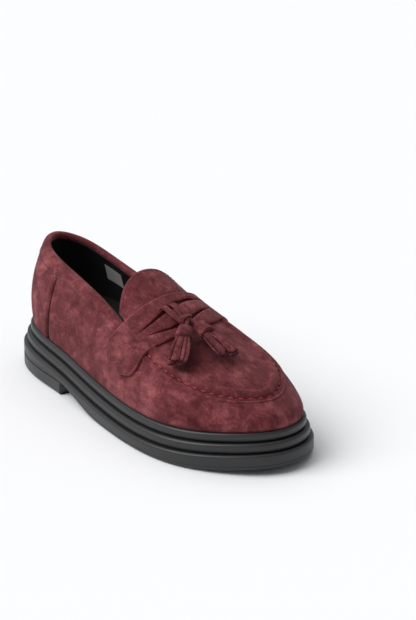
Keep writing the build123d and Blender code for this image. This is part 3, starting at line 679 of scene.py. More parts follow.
SEAM_SINK, SEAM_INSET, SEAM_HALF = 0.22, 2.4, 0.45


def slit_width(v, ends, width):
    inside = np.clip((v - ends[0]) / (ends[1] - ends[0]), 0, 1)
    return width * np.sin(np.pi * inside) ** 0.6


def strap_bands(v, edge):
    """Rear and front line of each band between the slits, and how far the slits are open."""
    lines = []
    for line, ends, width in ((REAR_SLIT, REAR_SLIT_ENDS, REAR_SLIT_WIDTH),
                              (FRONT_SLIT, FRONT_SLIT_ENDS, FRONT_SLIT_WIDTH)):
        held = np.clip(v, *ends)
        held_edge = strap_curve(held)
        share = (line(held)[:, 0] - held_edge[:, 0]) / (held_edge[:, 1] - held_edge[:, 0])
        at = edge[:, 0] + (edge[:, 1] - edge[:, 0]) * share
        lines.append((at, slit_width(v, ends, width)))
    squeeze = GATHER * np.exp(-((v - GATHER_PLACE) / 0.18) ** 2)
    (rear, rear_gap), (front, front_gap) = lines
    spans = [(edge[:, 0], rear - rear_gap / 2),
             (rear + rear_gap / 2 + squeeze, front - front_gap / 2 - squeeze),
             (front + front_gap / 2, edge[:, 1])]
    return spans, [rear_gap, front_gap]


def strap_lift(band, share, width, opened, v, v_here):
    """Height over the upper: rolled edges, rolled ends and the swell of the bands at the knot."""
    soft_low = 1.0 if band == 0 else np.clip(opened[band - 1] / 0.8, 0, 1)
    soft_high = 1.0 if band == BANDS - 1 else np.clip(opened[band] / 0.8, 0, 1)
    fall = np.clip(1 - share * width / STRAP_SOFT_EDGE, 0, 1) ** 2 * soft_low
    far_fall = np.clip(1 - (1 - share) * width / STRAP_SOFT_EDGE, 0, 1) ** 2 * soft_high
    fall = np.maximum(fall, far_fall)
    end = np.clip(np.minimum(v_here - LATERAL_END[4], STRAP_END - v_here) / END_RUN, 0, 1)
    lift = STRAP_TOP - 0.55 * fall - 0.5 * (1 - end) ** 2
    if band == 1:
        crown = 1 - 0.5 * (2 * share - 1) ** 2
        return lift + BAND_RISE * np.exp(-((v - BAND_MIDDLE) / 0.42) ** 2) * crown
    inward = share if band == 0 else 1 - share
    return lift + 0.5 * np.exp(-((v - BAND_MIDDLE) / 0.55) ** 2) * inward**3


def strap_creases(s, v_here, q, across):
    """Depth of the dart's fold and of the furrows under the edge stitches."""
    along_dart = (s - DART[0][0]) / (DART[1][0] - DART[0][0])
    off_dart = (v_here - (DART[0][1] + (DART[1][1] - DART[0][1]) * along_dart)) * GIRTH_RUN
    fold = np.exp(-(off_dart / 0.5) ** 2) * np.clip(np.minimum(along_dart, 1 - along_dart) * 8, 0, 1)
    stitched = np.minimum(q * across, (1 - q) * across)
    return 0.55 * fold, SEAM_SINK * np.exp(-((stitched - SEAM_INSET) / SEAM_HALF) ** 2)


def strap_faces(n, opened):
    """Faces of the strap's two sides, and the cut faces round its edges and its slits."""
    columns = len(BAND_SHARES)
    size = BANDS * columns * n
    faces, cut = [], []
    for band in range(BANDS):
        start = band * columns
        last = start + columns - 1
        gaps = {start: opened[band - 1] if band else None, last: opened[band] if band < BANDS - 1 else None}
        for column in range(start, last):
            edge_gap = gaps[start] if column == start else gaps[last] if column == last - 1 else False
            for i in range(n - 1):
                a, d = column * n + i, (column + 1) * n + i
                b, c = a + 1, d + 1
                pale = edge_gap is None or (edge_gap is not False and edge_gap[i] > 0.4) or i in (0, n - 2)
                (cut if pale else faces).append((a, b, c, d))
                faces.append((size + d, size + c, size + b, size + a))
            cut += [(column * n + i, (column + 1) * n + i, size + (column + 1) * n + i,
                     size + column * n + i) for i in (0, n - 1)]
        for column, gap in gaps.items():
            cut += [(column * n + i, column * n + i + 1, size + column * n + i + 1, size + column * n + i)
                    for i in range(n - 1) if gap is None or gap[i] > 0.001 or gap[i + 1] > 0.001]
    return faces, cut


def strap():
    """Saddle strap with its slits; the knot gathers the band between them."""
    v = np.linspace(STRAP_START, STRAP_END, STRAP_ROWS)
    edge = strap_curve(v)
    across = edge[:, 1] - edge[:, 0]
    spans, opened = strap_bands(v, edge)
    outer, inner = [], []
    for band, (low, high) in enumerate(spans):
        for share in BAND_SHARES:
            s = low + (high - low) * share
            q = (s - edge[:, 0]) / across
            v_here = np.clip(v, np.interp(q, END_SHAPE, LATERAL_END), np.interp(q, END_SHAPE, MEDIAL_END))
            base, normal = body(s, v_here), body_normal(s, v_here)
            fold, furrow = strap_creases(s, v_here, q, across)
            lift = strap_lift(band, share, high - low, opened, v, v_here) - fold - furrow
            outer.append(base + normal * lift[:, None])
            inner.append(base + normal * STRAP_UNDER)
    faces, cut = strap_faces(STRAP_ROWS, opened)
    points = np.concatenate([np.array(outer).reshape(-1, 3), np.array(inner).reshape(-1, 3)])
    return to_object("saddle_strap_suede", points, faces + cut, material("suede_strap"), merge=0.00001,
                     edge=range(len(faces), len(faces) + len(cut)), edge_finish=material("suede_edge"))


def strap_stitch_rows():
    """Stitch rows inside the strap's edges and along the fold of its lateral end."""
    inset, lift = 2.2, 2.5
    rows_strap = []
    for ends, side in ((LATERAL_END, -1), (MEDIAL_END, 1)):
        q = np.linspace(0.13, 0.87, 26)
        v_end = np.interp(q, END_SHAPE, ends) - side * 0.07
        edge = strap_curve(v_end)
        bottom = np.stack([edge[:, 0] + (edge[:, 1] - edge[:, 0]) * q, v_end], 1)
        v_rear, v_front = np.linspace(side * 0.8, v_end[0], 20), np.linspace(v_end[-1], side * 0.95, 16)
        rear = np.stack([strap_curve(v_rear)[:, 0] + inset, v_rear], 1)
        front = np.stack([strap_curve(v_front)[:, 1] - inset, v_front], 1)
        line = np.concatenate([rear[:-1], bottom, front[1:]])
        rows_strap.append(body(line[:, 0], line[:, 1]) + body_normal(line[:, 0], line[:, 1]) * lift)
    share = np.linspace(0.05, 0.95, 20)
    line = np.array(DART[0]) + (np.array(DART[1]) - np.array(DART[0])) * share[:, None]
    rows_strap.append(body(line[:, 0], line[:, 1]) + body_normal(line[:, 0], line[:, 1]) * (lift - 0.35))
    return rows_strap


def rounded_section(width, thick, sides=5):
    """Outline of a flat strip with soft edges."""
    r = thick / 2
    half = width / 2 - r
    turn = np.linspace(-math.pi / 2, math.pi / 2, sides)
    right = np.stack([half + r * np.cos(turn), r * np.sin(turn)], 1)
    left = np.stack([-half - r * np.cos(turn), -r * np.sin(turn)], 1)
    middle = np.linspace(half, -half, 5)[1:-1]
    top = np.stack([middle, np.full(3, r)], 1)
    bottom = np.stack([-middle, np.full(3, -r)], 1)
    return np.concatenate([right, top, left, bottom])


def ribbon_parts(path, across, width, thick, crease=0.0):
    """Bent strip along a path; across is the direction of its width, width may change along it."""
    path = np.asarray(path, float)
    across = np.broadcast_to(np.asarray(across, float), path.shape)
    width = np.broadcast_to(width, (len(path),))
    tangent = np.gradient(path, axis=0)
    tangent /= np.linalg.norm(tangent, axis=1)[:, None]
    normal = np.cross(tangent, across)
    normal /= np.linalg.norm(normal, axis=1)[:, None]
    side = np.cross(normal, tangent)
    rings = []
    for i, centre in enumerate(path):
        section = rounded_section(width[i], thick)
        bow = crease * (1 - (2 * section[:, 0] / width[i]) ** 2)
        rings.append(centre + section[:, :1] * side[i] + (section[:, 1] + bow)[:, None] * normal[i])
    grid = np.array(rings)
    n, m = grid.shape[:2]
    faces = grid_faces(n, m, 0, False, True)
    faces += [tuple(range(m)), tuple(range((n - 1) * m, n * m))[::-1]]
    return grid.reshape(-1, 3), faces


def smooth_path(points, count):
    points = np.asarray(points, float)
    run = np.concatenate([[0], np.cumsum(np.linalg.norm(np.diff(points, axis=0), axis=1))])
    return cubic(run, points)(np.linspace(0, run[-1], count))


knot_low, knot_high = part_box("knot")
KNOT = np.array((knot_low + knot_high) / 2) / MM
KNOT_HALVES = (4.9, 3.9, 2.2)
KNOT_SKEW = 24.0
STRIP_THICKNESS = 1.1


def knot():
    """Knot: a soft core and the strip that wraps it on a slant."""
    rows_n, cols_n = 40, 48
    turn = np.linspace(-math.pi / 2, math.pi / 2, rows_n)[:, None]
    round_ = np.linspace(0, 2 * math.pi, cols_n, endpoint=False)[None, :]
    x = KNOT_HALVES[0] * np.sin(turn) + 0 * round_
    radius = np.cos(turn) ** 0.6
    fold = 1 + 0.08 * np.cos(2 * math.pi * x / 3.6 + round_)
    y = KNOT_HALVES[1] * radius * fold * np.cos(round_)
    z = KNOT_HALVES[2] * radius * fold * np.sin(round_)
    core = np.stack([x, y, z], -1)
    skew = math.radians(KNOT_SKEW)
    spin = np.array([[math.cos(skew), math.sin(skew), 0], [-math.sin(skew), math.cos(skew), 0], [0, 0, 1]])
    loop = np.linspace(-0.15, 2 * math.pi + 0.15, 44)
    ring = np.stack([5.3 * np.cos(loop + math.pi), 0.5 * np.sin(2 * loop),
                     -2.35 * np.sin(loop + math.pi) + 0.25], 1)
    width = 4.6 - 0.6 * np.abs(np.cos(loop))
    strip, strip_faces = ribbon_parts(ring, (0, 1, 0), width, STRIP_THICKNESS, 0.25)
    points, faces = join_parts([(core.reshape(-1, 3), grid_faces(rows_n, cols_n, 0, False, True)),
                                (strip, strip_faces)])
    return to_object("knot_suede", points @ spin + KNOT, faces, material("suede_trim"), merge=0.000001)


def over_strap(s, x, lift):
    """Point over the middle of the strap, lifted along the surface's normal."""
    lw, _, mw, _ = edges(np.array(s))
    u = (x + MID_W - (lw + mw) / 2) / ((mw - lw) / 2)
    return body(np.array([s]), np.array([u]))[0] + body_normal(np.array([s]), np.array([u]))[0] * lift


BOW_REAR = 154.5
# Each turn: across at the rear and at the knot, width, lift. The route: share of the way and height.
BOW_TURNS = ((-4.6, -1.6, 5.6, 0.35), (1.6, 1.5, 5.2, 0.0))
BOW_ROUTE = ((-0.06, 1.0), (-0.08, 2.6), (0.0, 4.3), (0.2, 5.0), (0.55, 5.0), (0.8, 5.0), (1.0, 4.6))


def bow():
    """Two turns of the strip round the strap's middle band, running into the knot."""
    parts = []
    knot_s = MID_S - KNOT[1]
    for rear_x, front_x, width, lift in BOW_TURNS:
        path = []
        for share, rise in BOW_ROUTE:
            x = KNOT[0] + rear_x + (front_x - rear_x) * max(0.0, share)
            s = BOW_REAR - 1.0 + (knot_s - BOW_REAR + 1.0) * share
            path.append(over_strap(s, x, rise + lift * (rise > 3)))
        run = path[-1] - path[2]
        across = np.array([-run[1], run[0], 0.0])
        parts.append(ribbon_parts(smooth_path(path, 30), across / np.linalg.norm(across),
                                  np.linspace(width, width * 0.72, 30), 1.2, 0.1))
    points, faces = join_parts(parts)
    return to_object("bow_suede", points, faces, material("suede_trim"), merge=0.000001)


TASSELS = {"lateral": {"bearing": -45.0, "fall": 23.5, "seed": 4},
           "medial": {"bearing": 5.0, "fall": 19.0, "seed": 9}}
HINGES = {joint["name"]: np.array(joint["pos_m"]) / MM for joint in frame["joints"]}
HEAD_START, HEAD_LENGTH, HEAD_RADIUS = 1.6, 10.5, 5.0
FRINGE_LENGTH, FRINGE_WIDTH = 25.0, 14.5
FRINGE_STRIP, FRINGE_STRIP_THICKNESS = 3.1, 1.15
CORD_WIDTH, CORD_THICKNESS = 2.7, 1.5


def tassel_axes(side):
    """Hinge of the tassel's lift, and its directions along, across and out."""
    data = TASSELS[side]
    bearing, fall = math.radians(data["bearing"]), math.radians(data["fall"])
    level = np.array([math.sin(bearing), -math.cos(bearing), 0.0])
    along = level * math.cos(fall) - np.array([0, 0, math.sin(fall)])
    out = level * math.sin(fall) + np.array([0, 0, math.cos(fall)])
    return HINGES[side + "_lift"], along, np.cross(out, along), out


def cord_piece(side):
    """Short flat strip from the knot to the tassel's head."""
    tip, along, across, _ = tassel_axes(side)
    root = HINGES[side + "_swing"]
    path = smooth_path([root + (KNOT - root) * 0.25, root, tip, tip + along * 2.6], 14)
    points, faces = ribbon_parts(path, across, CORD_WIDTH, CORD_THICKNESS, 0.15)
    return to_object(side + "_cord_suede", points, faces, material("suede_trim"), side + "_cord_end")


def tassel_head(side):
    """Wrapped head: a rolled top, the slanting end of its strip and a band at the lower edge."""
    tip, along, across, out = tassel_axes(side)
    d = np.concatenate([[0.0], np.linspace(0.12, 2.0, 9), np.linspace(2.3, HEAD_LENGTH, 44), [HEAD_LENGTH]])
    dome = np.sqrt(np.clip(1 - (1 - np.clip(d / 2.2, 0, 1)) ** 2, 0, 1))
    radius = (HEAD_RADIUS + 0.35) * (0.25 + 0.75 * dome) * (0.88 + 0.09 * d / HEAD_LENGTH)
    turn = np.linspace(0, 2 * math.pi, 64, endpoint=False)
    phase = random.Random(TASSELS[side]["seed"]).uniform(0, 6)
    wave = 1 + 0.035 * np.sin(3 * turn + phase)[None, :] + 0.02 * np.sin(5 * turn + d[:, None] * 0.6)
    slant = 7.2 + 1.3 * np.sin(turn + phase)[None, :]
    past = d[:, None] - slant
    band = 0.5 / (1 + np.exp(-past / 0.16)) - 0.35 * np.exp(-((past + 0.35) / 0.28) ** 2)
    lap = np.angle(np.exp(1j * (turn[None, :] - 1.9 - 0.04 * d[:, None])))
    band = band + 0.5 * (lap > 0) * np.exp(-lap / 0.5) * (d[:, None] > 0.8) * (past < 0)
    radius[0] = radius[-1] = 0.02
    r = radius[:, None] * wave + band * (radius[:, None] > 1)
    wide, deep = (r * np.cos(turn))[..., None], (r * np.sin(turn) * 0.94)[..., None]
    grid = tip + along * (HEAD_START - 0.3) + d[:, None, None] * along + wide * across + deep * out
    return to_object(side + "_tassel_head_suede", grid.reshape(-1, 3), grid_faces(len(d), 64, 0, False, True),
                     material("suede_trim"), side + "_tassel")


FRINGE_LAYERS = ((-1, 5, 0.9), (0, 5, 1.0), (1, 5, 0.97))  # layer, strips, share of the length


def fringe(side):
    """Cut strips hanging from the head, spread towards their ends."""
    tip, along, across, out = tassel_axes(side)
    rng = random.Random(TASSELS[side]["seed"] + 20)
    start = tip + along * (HEAD_START + HEAD_LENGTH - 1.6)
    parts, cut, at = [], [], 0
    for layer, count, reach in FRINGE_LAYERS:
        for i in range(count):
            place = (i + 0.5) / count * 2 - 1 + rng.uniform(-0.09, 0.09)
            bulge = math.sqrt(max(0.0, 1 - 0.8 * place * place))
            near, far = place * 3.6, place * (FRINGE_WIDTH / 2 - 1.2)
            low = layer * 1.6 * bulge + rng.uniform(-0.2, 0.2)
            drop = layer * 2.7 * bulge + rng.uniform(-0.5, 0.5)
            length = FRINGE_LENGTH * reach * rng.uniform(0.9, 1.0)
            sway = rng.uniform(-0.9, 0.9)
            path = []
            for k in range(10):
                f = k / 9
                ease = math.sin(f * 1.9) / math.sin(1.9) if f < 0.83 else 1.0 + (0.83 - f) * 0.5
                path.append(start + along * (length + 1.6) * f
                            + across * (near + (far - near) * ease + sway * math.sin(3 * f))
                            + out * (low + (drop - low) * ease + 0.6 * math.sin(math.pi * f) * (layer >= 0)))
            tilt = rng.uniform(-0.75, 0.75) + place * 0.5
            face = across * math.cos(tilt) + out * math.sin(tilt)
            width = FRINGE_STRIP + rng.uniform(-0.3, 0.4)
            points, faces = ribbon_parts(np.array(path), face, np.linspace(width * 0.8, width, 10),
                                         FRINGE_STRIP_THICKNESS, 0.12)
            parts.append((points, faces))
            # the strip's end face takes the near-black suede below: painted shade on the curled-in fringe
            # ends
            cut.append(at + len(faces) - 1)
            at += len(faces)
    points, faces = join_parts(parts)
    return to_object(side + "_tassel_fringe_suede", points, faces, material("suede_trim"), side + "_tassel",
                     merge=0.0000005, edge=cut, edge_finish=material("suede_painted_shade"))


# ---- stitches -------------------------------------------------------------------------------
STITCH_TREES = {}


def stitch_tree():
    """Geometry nodes: capsules laid along a path at a pitch, each a little longer or shorter at random."""
    if "stitches" in STITCH_TREES:
        return STITCH_TREES["stitches"]
    tree = bpy.data.node_groups.new("stitches along a path", "GeometryNodeTree")
    face = tree.interface
    face.new_socket(name="Geometry", in_out="INPUT", socket_type="NodeSocketGeometry")
    for name in ("Pitch", "Length", "Width"):
        face.new_socket(name=name, in_out="INPUT", socket_type="NodeSocketFloat")
    face.new_socket(name="Seed", in_out="INPUT", socket_type="NodeSocketInt")
    face.new_socket(name="Thread", in_out="INPUT", socket_type="NodeSocketMaterial")
    face.new_socket(name="Geometry", in_out="OUTPUT", socket_type="NodeSocketGeometry")
    new, link = tree.nodes.new, tree.links.new
    given, result = new("NodeGroupInput"), new("NodeGroupOutput")
    curve, resample = new("GeometryNodeMeshToCurve"), new("GeometryNodeResampleCurve")
    stitch = new("GeometryNodeMeshUVSphere")
    resample.mode = "LENGTH"
    stitch.inputs["Segments"].default_value = 8
    stitch.inputs["Rings"].default_value = 6
    stitch.inputs["Radius"].default_value = 0.5
    tangent, align = new("GeometryNodeInputTangent"), new("FunctionNodeAlignRotationToVector")
    align.axis = "Z"
    scale, place = new("ShaderNodeCombineXYZ"), new("GeometryNodeInstanceOnPoints")
    chance = new("FunctionNodeRandomValue")
    chance.data_type = "FLOAT"
    chance.inputs[2].default_value = 0.85
    chance.inputs[3].default_value = 1.1
    times = new("ShaderNodeMath")
    times.operation = "MULTIPLY"
    real, finish = new("GeometryNodeRealizeInstances"), new("GeometryNodeSetMaterial")
    smooth = new("GeometryNodeSetShadeSmooth")
    link(given.outputs["Geometry"], curve.inputs["Mesh"])
    link(curve.outputs["Curve"], resample.inputs["Curve"])
    link(given.outputs["Pitch"], resample.inputs["Length"])
    link(resample.outputs["Curve"], place.inputs["Points"])
    link(stitch.outputs["Mesh"], place.inputs["Instance"])
    link(tangent.outputs["Tangent"], align.inputs["Vector"])
    link(align.outputs["Rotation"], place.inputs["Rotation"])
    link(given.outputs["Seed"], chance.inputs["Seed"])
    link(given.outputs["Length"], times.inputs[0])
    link(chance.outputs[1], times.inputs[1])
    link(given.outputs["Width"], scale.inputs["X"])
    link(given.outputs["Width"], scale.inputs["Y"])
    link(times.outputs[0], scale.inputs["Z"])
    link(scale.outputs["Vector"], place.inputs["Scale"])
    link(place.outputs["Instances"], real.inputs["Geometry"])
    link(real.outputs["Geometry"], smooth.inputs["Geometry"])
    link(smooth.outputs["Geometry"], finish.inputs["Geometry"])
    link(given.outputs["Thread"], finish.inputs["Material"])
    link(finish.outputs["Geometry"], result.inputs["Geometry"])
    STITCH_TREES["stitches"] = tree
    return tree


def stitches(name, paths, pitch, length, width, finish, body_name="shoe", seed=3):
    """Row of stitches along each path, as one plain mesh."""
    points, lines, start = [], [], 0
    for path in paths:
        points += [Vector(p) * MM for p in path]
        lines += [(start + i, start + i + 1) for i in range(len(path) - 1)]
        start += len(path)
    mesh = bpy.data.meshes.new(name + "_path")
    mesh.from_pydata(points, lines, [])
    source = bpy.data.objects.new(name + "_path", mesh)
    bpy.context.scene.collection.objects.link(source)
    tree = stitch_tree()
    modifier = source.modifiers.new("stitches", "NODES")
    modifier.node_group = tree
    values = {"Pitch": pitch * MM, "Length": length * MM, "Width": width * MM, "Seed": seed, "Thread": finish}
    for item in tree.interface.items_tree:
        if item.in_out == "INPUT" and item.name in values:
            modifier[item.identifier] = values[item.name]
    bpy.context.view_layer.update()
    evaluated = source.evaluated_get(bpy.context.evaluated_depsgraph_get())
    made = bpy.data.meshes.new_from_object(evaluated)
    obj = bpy.data.objects.new(name, made)
    bpy.context.scene.collection.objects.link(obj)
    bpy.data.objects.remove(source)
    if not made.polygons:
        raise RuntimeError(f"{name} has no stitches")
    if not made.materials:
        made.materials.append(finish)
    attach(obj, body_name)
    return obj


def moved_in(t, gap):
    """Points over the apron at a distance inside its edge, round the place t."""
    step = 0.01
    edge = wall(t, 1.0)
    ahead, behind = wall(t + step, 1.0), wall(t - step, 1.0)
    run = (ahead - behind)[:, :2]
    run /= np.linalg.norm(run, axis=1)[:, None]
    inward = np.stack([-run[:, 1], run[:, 0]], 1)
    centre = np.array([-MID_W, MID_S - 200.0])
    flip = np.sum(inward * (centre - edge[:, :2]), axis=1) < 0
    inward[flip] *= -1
    plan = edge[:, :2] + inward * gap
    s, w = MID_S - plan[:, 1], plan[:, 0] + MID_W
    lw, _, mw, _ = edges(s)
    u = np.clip((w - (lw + mw) / 2) / np.maximum((mw - lw) / 2, 0.5), -1, 1)
    return np.concatenate([plan, arch_height(np.clip(s, None, 251), u)[:, None]], 1)


TONGUE_SEAM_INSET, BINDING_SEAM = 2.6, 6.7
SEAM_WIDTH, HAND_WIDTH = 0.45, 0.95


def seam_thread_rows():
    """Fine machine rows on the binding, the strap ends, the tongue and the heel seams."""
    t = places(13.75, 4.5 + COUNT, 0.05)
    rows_shoe = [wall(t, 1 - BINDING_SEAM / station(t)[:, 4], -0.95)]
    for seam, gap in ((LATERAL_SEAM, 0.06), (MEDIAL_SEAM, -0.06)):
        k = np.linspace(0.2, 0.83, 40)
        rows_shoe.append(wall(seam + gap + 0 * k, k, -0.75))
    u = np.linspace(-0.86, 0.86, 60)
    rear = TONGUE_REAR + TONGUE_CORNER * np.abs(u / TONGUE_SPAN) ** 5 + TONGUE_SEAM_INSET
    flap = arch(rear, u * 0.965, 0.42)
    return rows_shoe + strap_stitch_rows(), [flap]


# ---- sole ------------------------------------------------------------------------------------
RAND_DEPTH, MIDSOLE_DEPTH = 6.5, 7.0
RAND_REACH, MIDSOLE_REACH, OUTSOLE_REACH = 2.5, 5.0, 7.5
BLOCK_HEIGHT, HEEL_LENGTH = 8.8, 79.0
# Under side of the outsole: (s, height over the ground).
UNDERSIDE = [(-20, 8.9), (82, 8.9), (86, 8.5), (100, 5.34), (120, 1.6), (130, 0.5), (140, 0), (205, 0),
             (220, 0.3), (235, 1), (250, 2.3), (272, 5), (280, 6.25)]
TREAD_GROOVES = [144.5 + 9 * i for i in range(7)]
HEEL_GROOVES = [70, 61, 52]
GROOVE_WIDTH, GROOVE_DEPTH = 2.0, 1.2
# Lower part of the outsole's side: distance inside its reach, height from its under side.
OUTSOLE_FOOT = ((0, 3.4), (0.05, 2.9), (0.35, 2.7), (0.1, 2.45), (0.1, 1.5), (0.5, 0.5), (1.3, 0.0))
ACROSS = 14
UPPER_BAND, FULL_RISE, LEAST_SQUEEZE = 3.3, 3.5, 0.3  # lower profile shrinks where the layer is thin


def sole_rows(reach, low, high, marks=()):
    """Pairs of places round the last, lateral and medial, at rows of equal s of the outline at a reach."""
    t = np.linspace(0, COUNT, 4000, endpoint=False)
    outline = sole_edge(t, reach)
    s = MID_S - outline[:, 1]
    heel, toe = s.min(), s.max()
    first, last = np.argmin(s), np.argmax(s)
    ordered = (np.arange(len(t)) + first) % len(t)
    turn = (last - first) % len(t)
    side_a, side_b = ordered[:turn + 1], np.concatenate([ordered[turn:], ordered[:1]])
    stretch = t[side_a] - COUNT * (t[side_a] > 15)
    other = t[side_b].copy()
    other[other < 3] += COUNT
    swing = (1 - np.cos(np.linspace(0, math.pi / 2, 22))) * 26
    rows_s = np.concatenate([heel + swing, np.arange(heel + 27, toe - 27, 1.5), toe - swing])
    rows_s = np.concatenate([rows_s, list(marks), [low, high]])
    rows_s = np.unique(np.clip(rows_s, max(low, heel), min(high, toe)))
    lateral = np.interp(rows_s, s[side_a], stretch)
    medial = np.interp(-rows_s, -s[side_b], other)
    return lateral, medial


def sole_edge(t, reach):
    """Outline of the sole at a distance outside the feather line."""
    at = lambda places_: station(places_)[:, :2]
    run = at(np.asarray(t) + 0.02) - at(np.asarray(t) - 0.02)
    run /= np.linalg.norm(run, axis=1)[:, None]
    centre = at(t)
    out = np.stack([-run[:, 1], run[:, 0]], 1)
    inside = np.stack([np.clip(centre[:, 0], 40, 215), np.zeros(len(centre))], 1)
    flip = np.sum(out * (centre - inside), axis=1) < 0
    out[flip] *= -1
    flat = centre + out * np.reshape(reach, (-1, 1))
    return placed(flat[:, 0], flat[:, 1], np.zeros(len(flat)))


def groove_depth(s, starts):
    """Depth of the tread's grooves at s."""
    depth = np.zeros_like(s)
    for start in starts:
        depth = np.maximum(depth, GROOVE_DEPTH * ((s > start) & (s < start + GROOVE_WIDTH)))
    return depth


def sole_layer(name, profile, top, bottom, low=-40.0, high=400.0, grooves=()):
    """Closed layer of the sole. The profile lists (reach, drop from the top, rise from the bottom);
    one of the two heights is None."""
    widest = max(reach for reach, _, _ in profile)
    marks = [g + d for g in grooves for d in (-0.02, 0.02, GROOVE_WIDTH - 0.02, GROOVE_WIDTH + 0.02)]
    lateral, medial = sole_rows(widest, low, high, marks)
    sides = []
    for t in (lateral, medial):
        column = []
        for reach, drop, rise in profile:
            point = sole_edge(t, reach)
            here = MID_S - point[:, 1]
            squeeze = np.clip((top(here) - bottom(here) - UPPER_BAND) / FULL_RISE, LEAST_SQUEEZE, 1.0)
            point[:, 2] = top(here) - drop if drop is not None else bottom(here) + rise * squeeze
            column.append(point)
        sides.append(column)
    share = np.linspace(0, 1, ACROSS)[1:-1]
    loop = list(sides[0])
    for f in share:
        point = sides[0][-1] * (1 - f) + sides[1][-1] * f
        here = MID_S - point[:, 1]
        point[:, 2] = bottom(here) + groove_depth(here, grooves) * (0.08 < f < 0.92)
        loop.append(point)
    loop += list(reversed(sides[1]))
    for f in share:
        point = sides[1][0] * (1 - f) + sides[0][0] * f
        point[:, 2] = top(MID_S - point[:, 1])
        loop.append(point)
    grid = np.array(loop).transpose(1, 0, 2)
    n, m = grid.shape[:2]
    faces = grid_faces(n, m, 0, False, True)
    if high < 300:
        faces.append(tuple(range((n - 1) * m, n * m)))
    return to_object(name, grid.reshape(-1, 3), faces, material("rubber"), merge=0.00001)


def round_edge(reach, radius, steps=5):
    """Points of a rounded edge: distance from the outline and drop from the corner."""
    turn = np.linspace(0, math.pi / 2, steps)
    return [(reach - radius + radius * math.sin(a), radius - radius * math.cos(a)) for a in turn]


def sole_pieces():
    """Rand, midsole, outsole and heel block."""
    deck = lambda s: feather(np.ravel(s)).reshape(np.shape(s))
    rand_foot, mid_foot = RAND_DEPTH, RAND_DEPTH + MIDSOLE_DEPTH
    under = lambda s: np.interp(s, *zip(*UNDERSIDE))
    rand_profile = [(r, d, None) for r, d in round_edge(RAND_REACH, 1.7)]
    rand_profile += [(RAND_REACH + 0.12, 3.4, None), (RAND_REACH, 4.6, None), (RAND_REACH - 0.7, 5.7, None),
                     (RAND_REACH - 1.6, RAND_DEPTH - 0.1, None)]
    rand = sole_layer("rand_rubber", rand_profile, deck, lambda s: deck(s) - rand_foot + 0.1)
    mid_profile = [(r, d, None) for r, d in round_edge(MIDSOLE_REACH, 1.9)]
    mid_profile += [(MIDSOLE_REACH + 0.1, 3.6, None), (MIDSOLE_REACH, 5.0, None),
                    (MIDSOLE_REACH - 0.7, 6.2, None), (MIDSOLE_REACH - 1.5, MIDSOLE_DEPTH - 0.1, None)]
    midsole = sole_layer("midsole_rubber", mid_profile, lambda s: deck(s) - rand_foot,
                         lambda s: deck(s) - mid_foot + 0.1)
    out_profile = [(r, d, None) for r, d in round_edge(OUTSOLE_REACH, 1.6)]
    out_profile.append((OUTSOLE_REACH, 3.2, None))
    out_profile += [(OUTSOLE_REACH - inset, None, rise) for inset, rise in OUTSOLE_FOOT]
    outsole = sole_layer("outsole_rubber", out_profile, lambda s: deck(s) - mid_foot, under,
                         grooves=TREAD_GROOVES)
    block_profile = [(OUTSOLE_REACH - 0.1, 0.0, None), (OUTSOLE_REACH - 0.05, 0.5, None),
                     (OUTSOLE_REACH - 0.05, 5.0, None)]
    block_profile += [(r, None, d) for r, d in reversed(round_edge(OUTSOLE_REACH - 0.05, 1.8))]
    block = sole_layer("heel_block_rubber", block_profile, lambda s: np.full(np.shape(s), BLOCK_HEIGHT),
                       lambda s: np.zeros(np.shape(s)), high=HEEL_LENGTH, grooves=HEEL_GROOVES)
    return rand, midsole, outsole, block


# ---- finishes of the CAD nodes that stay -----------------------------------------------------
CAD_FINISH = {
    "lining": ("vamp_lining", "quarter_lining", "apron_lining", "sock_lining"),
    "patch": ("size_label",),
    "foam": ("footbed", "bottom_filler"),
    "board": ("insole_board", "heel_counter", "toe_puff"),
    "steel": ("shank",),
}


def inner_finish(key):
    """Finishes of the pieces inside the shoe."""
    paint = Paint(key)
    if key == "foam":
        cells = paint.node("ShaderNodeTexVoronoi", {"feature": "F1"},
                           {"Vector": paint.coords(), "Scale": 1200.0}).out("Distance")
        shade = paint.mix(cells, (0.5, 0.42, 0.3), (0.66, 0.58, 0.44))
        return paint.set(Base_Color=shade, Roughness=0.85, Normal=paint.bump(cells, 0.3, 0.0004))
    if key == "board":
        fibre = paint.noise(400.0, 3.0, 0.6, (1, 0.2, 1))
        shade = paint.mix(fibre, (0.32, 0.22, 0.13), (0.5, 0.38, 0.25))
        return paint.set(Base_Color=shade, Roughness=0.8, Normal=paint.bump(fibre, 0.2, 0.0003))
    brushed = paint.noise(300.0, 2.0, 0.5, (8, 0.3, 1))
    return paint.set(Base_Color=paint.mix(brushed, (0.4, 0.4, 0.42), (0.62, 0.62, 0.64)), Metallic=1.0,
                     Roughness=0.32 + brushed * 0.15)


def dress(piece, node_names):
    """Hides the CAD nodes that the piece stands for."""
    if node_names:
        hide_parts(*node_names)


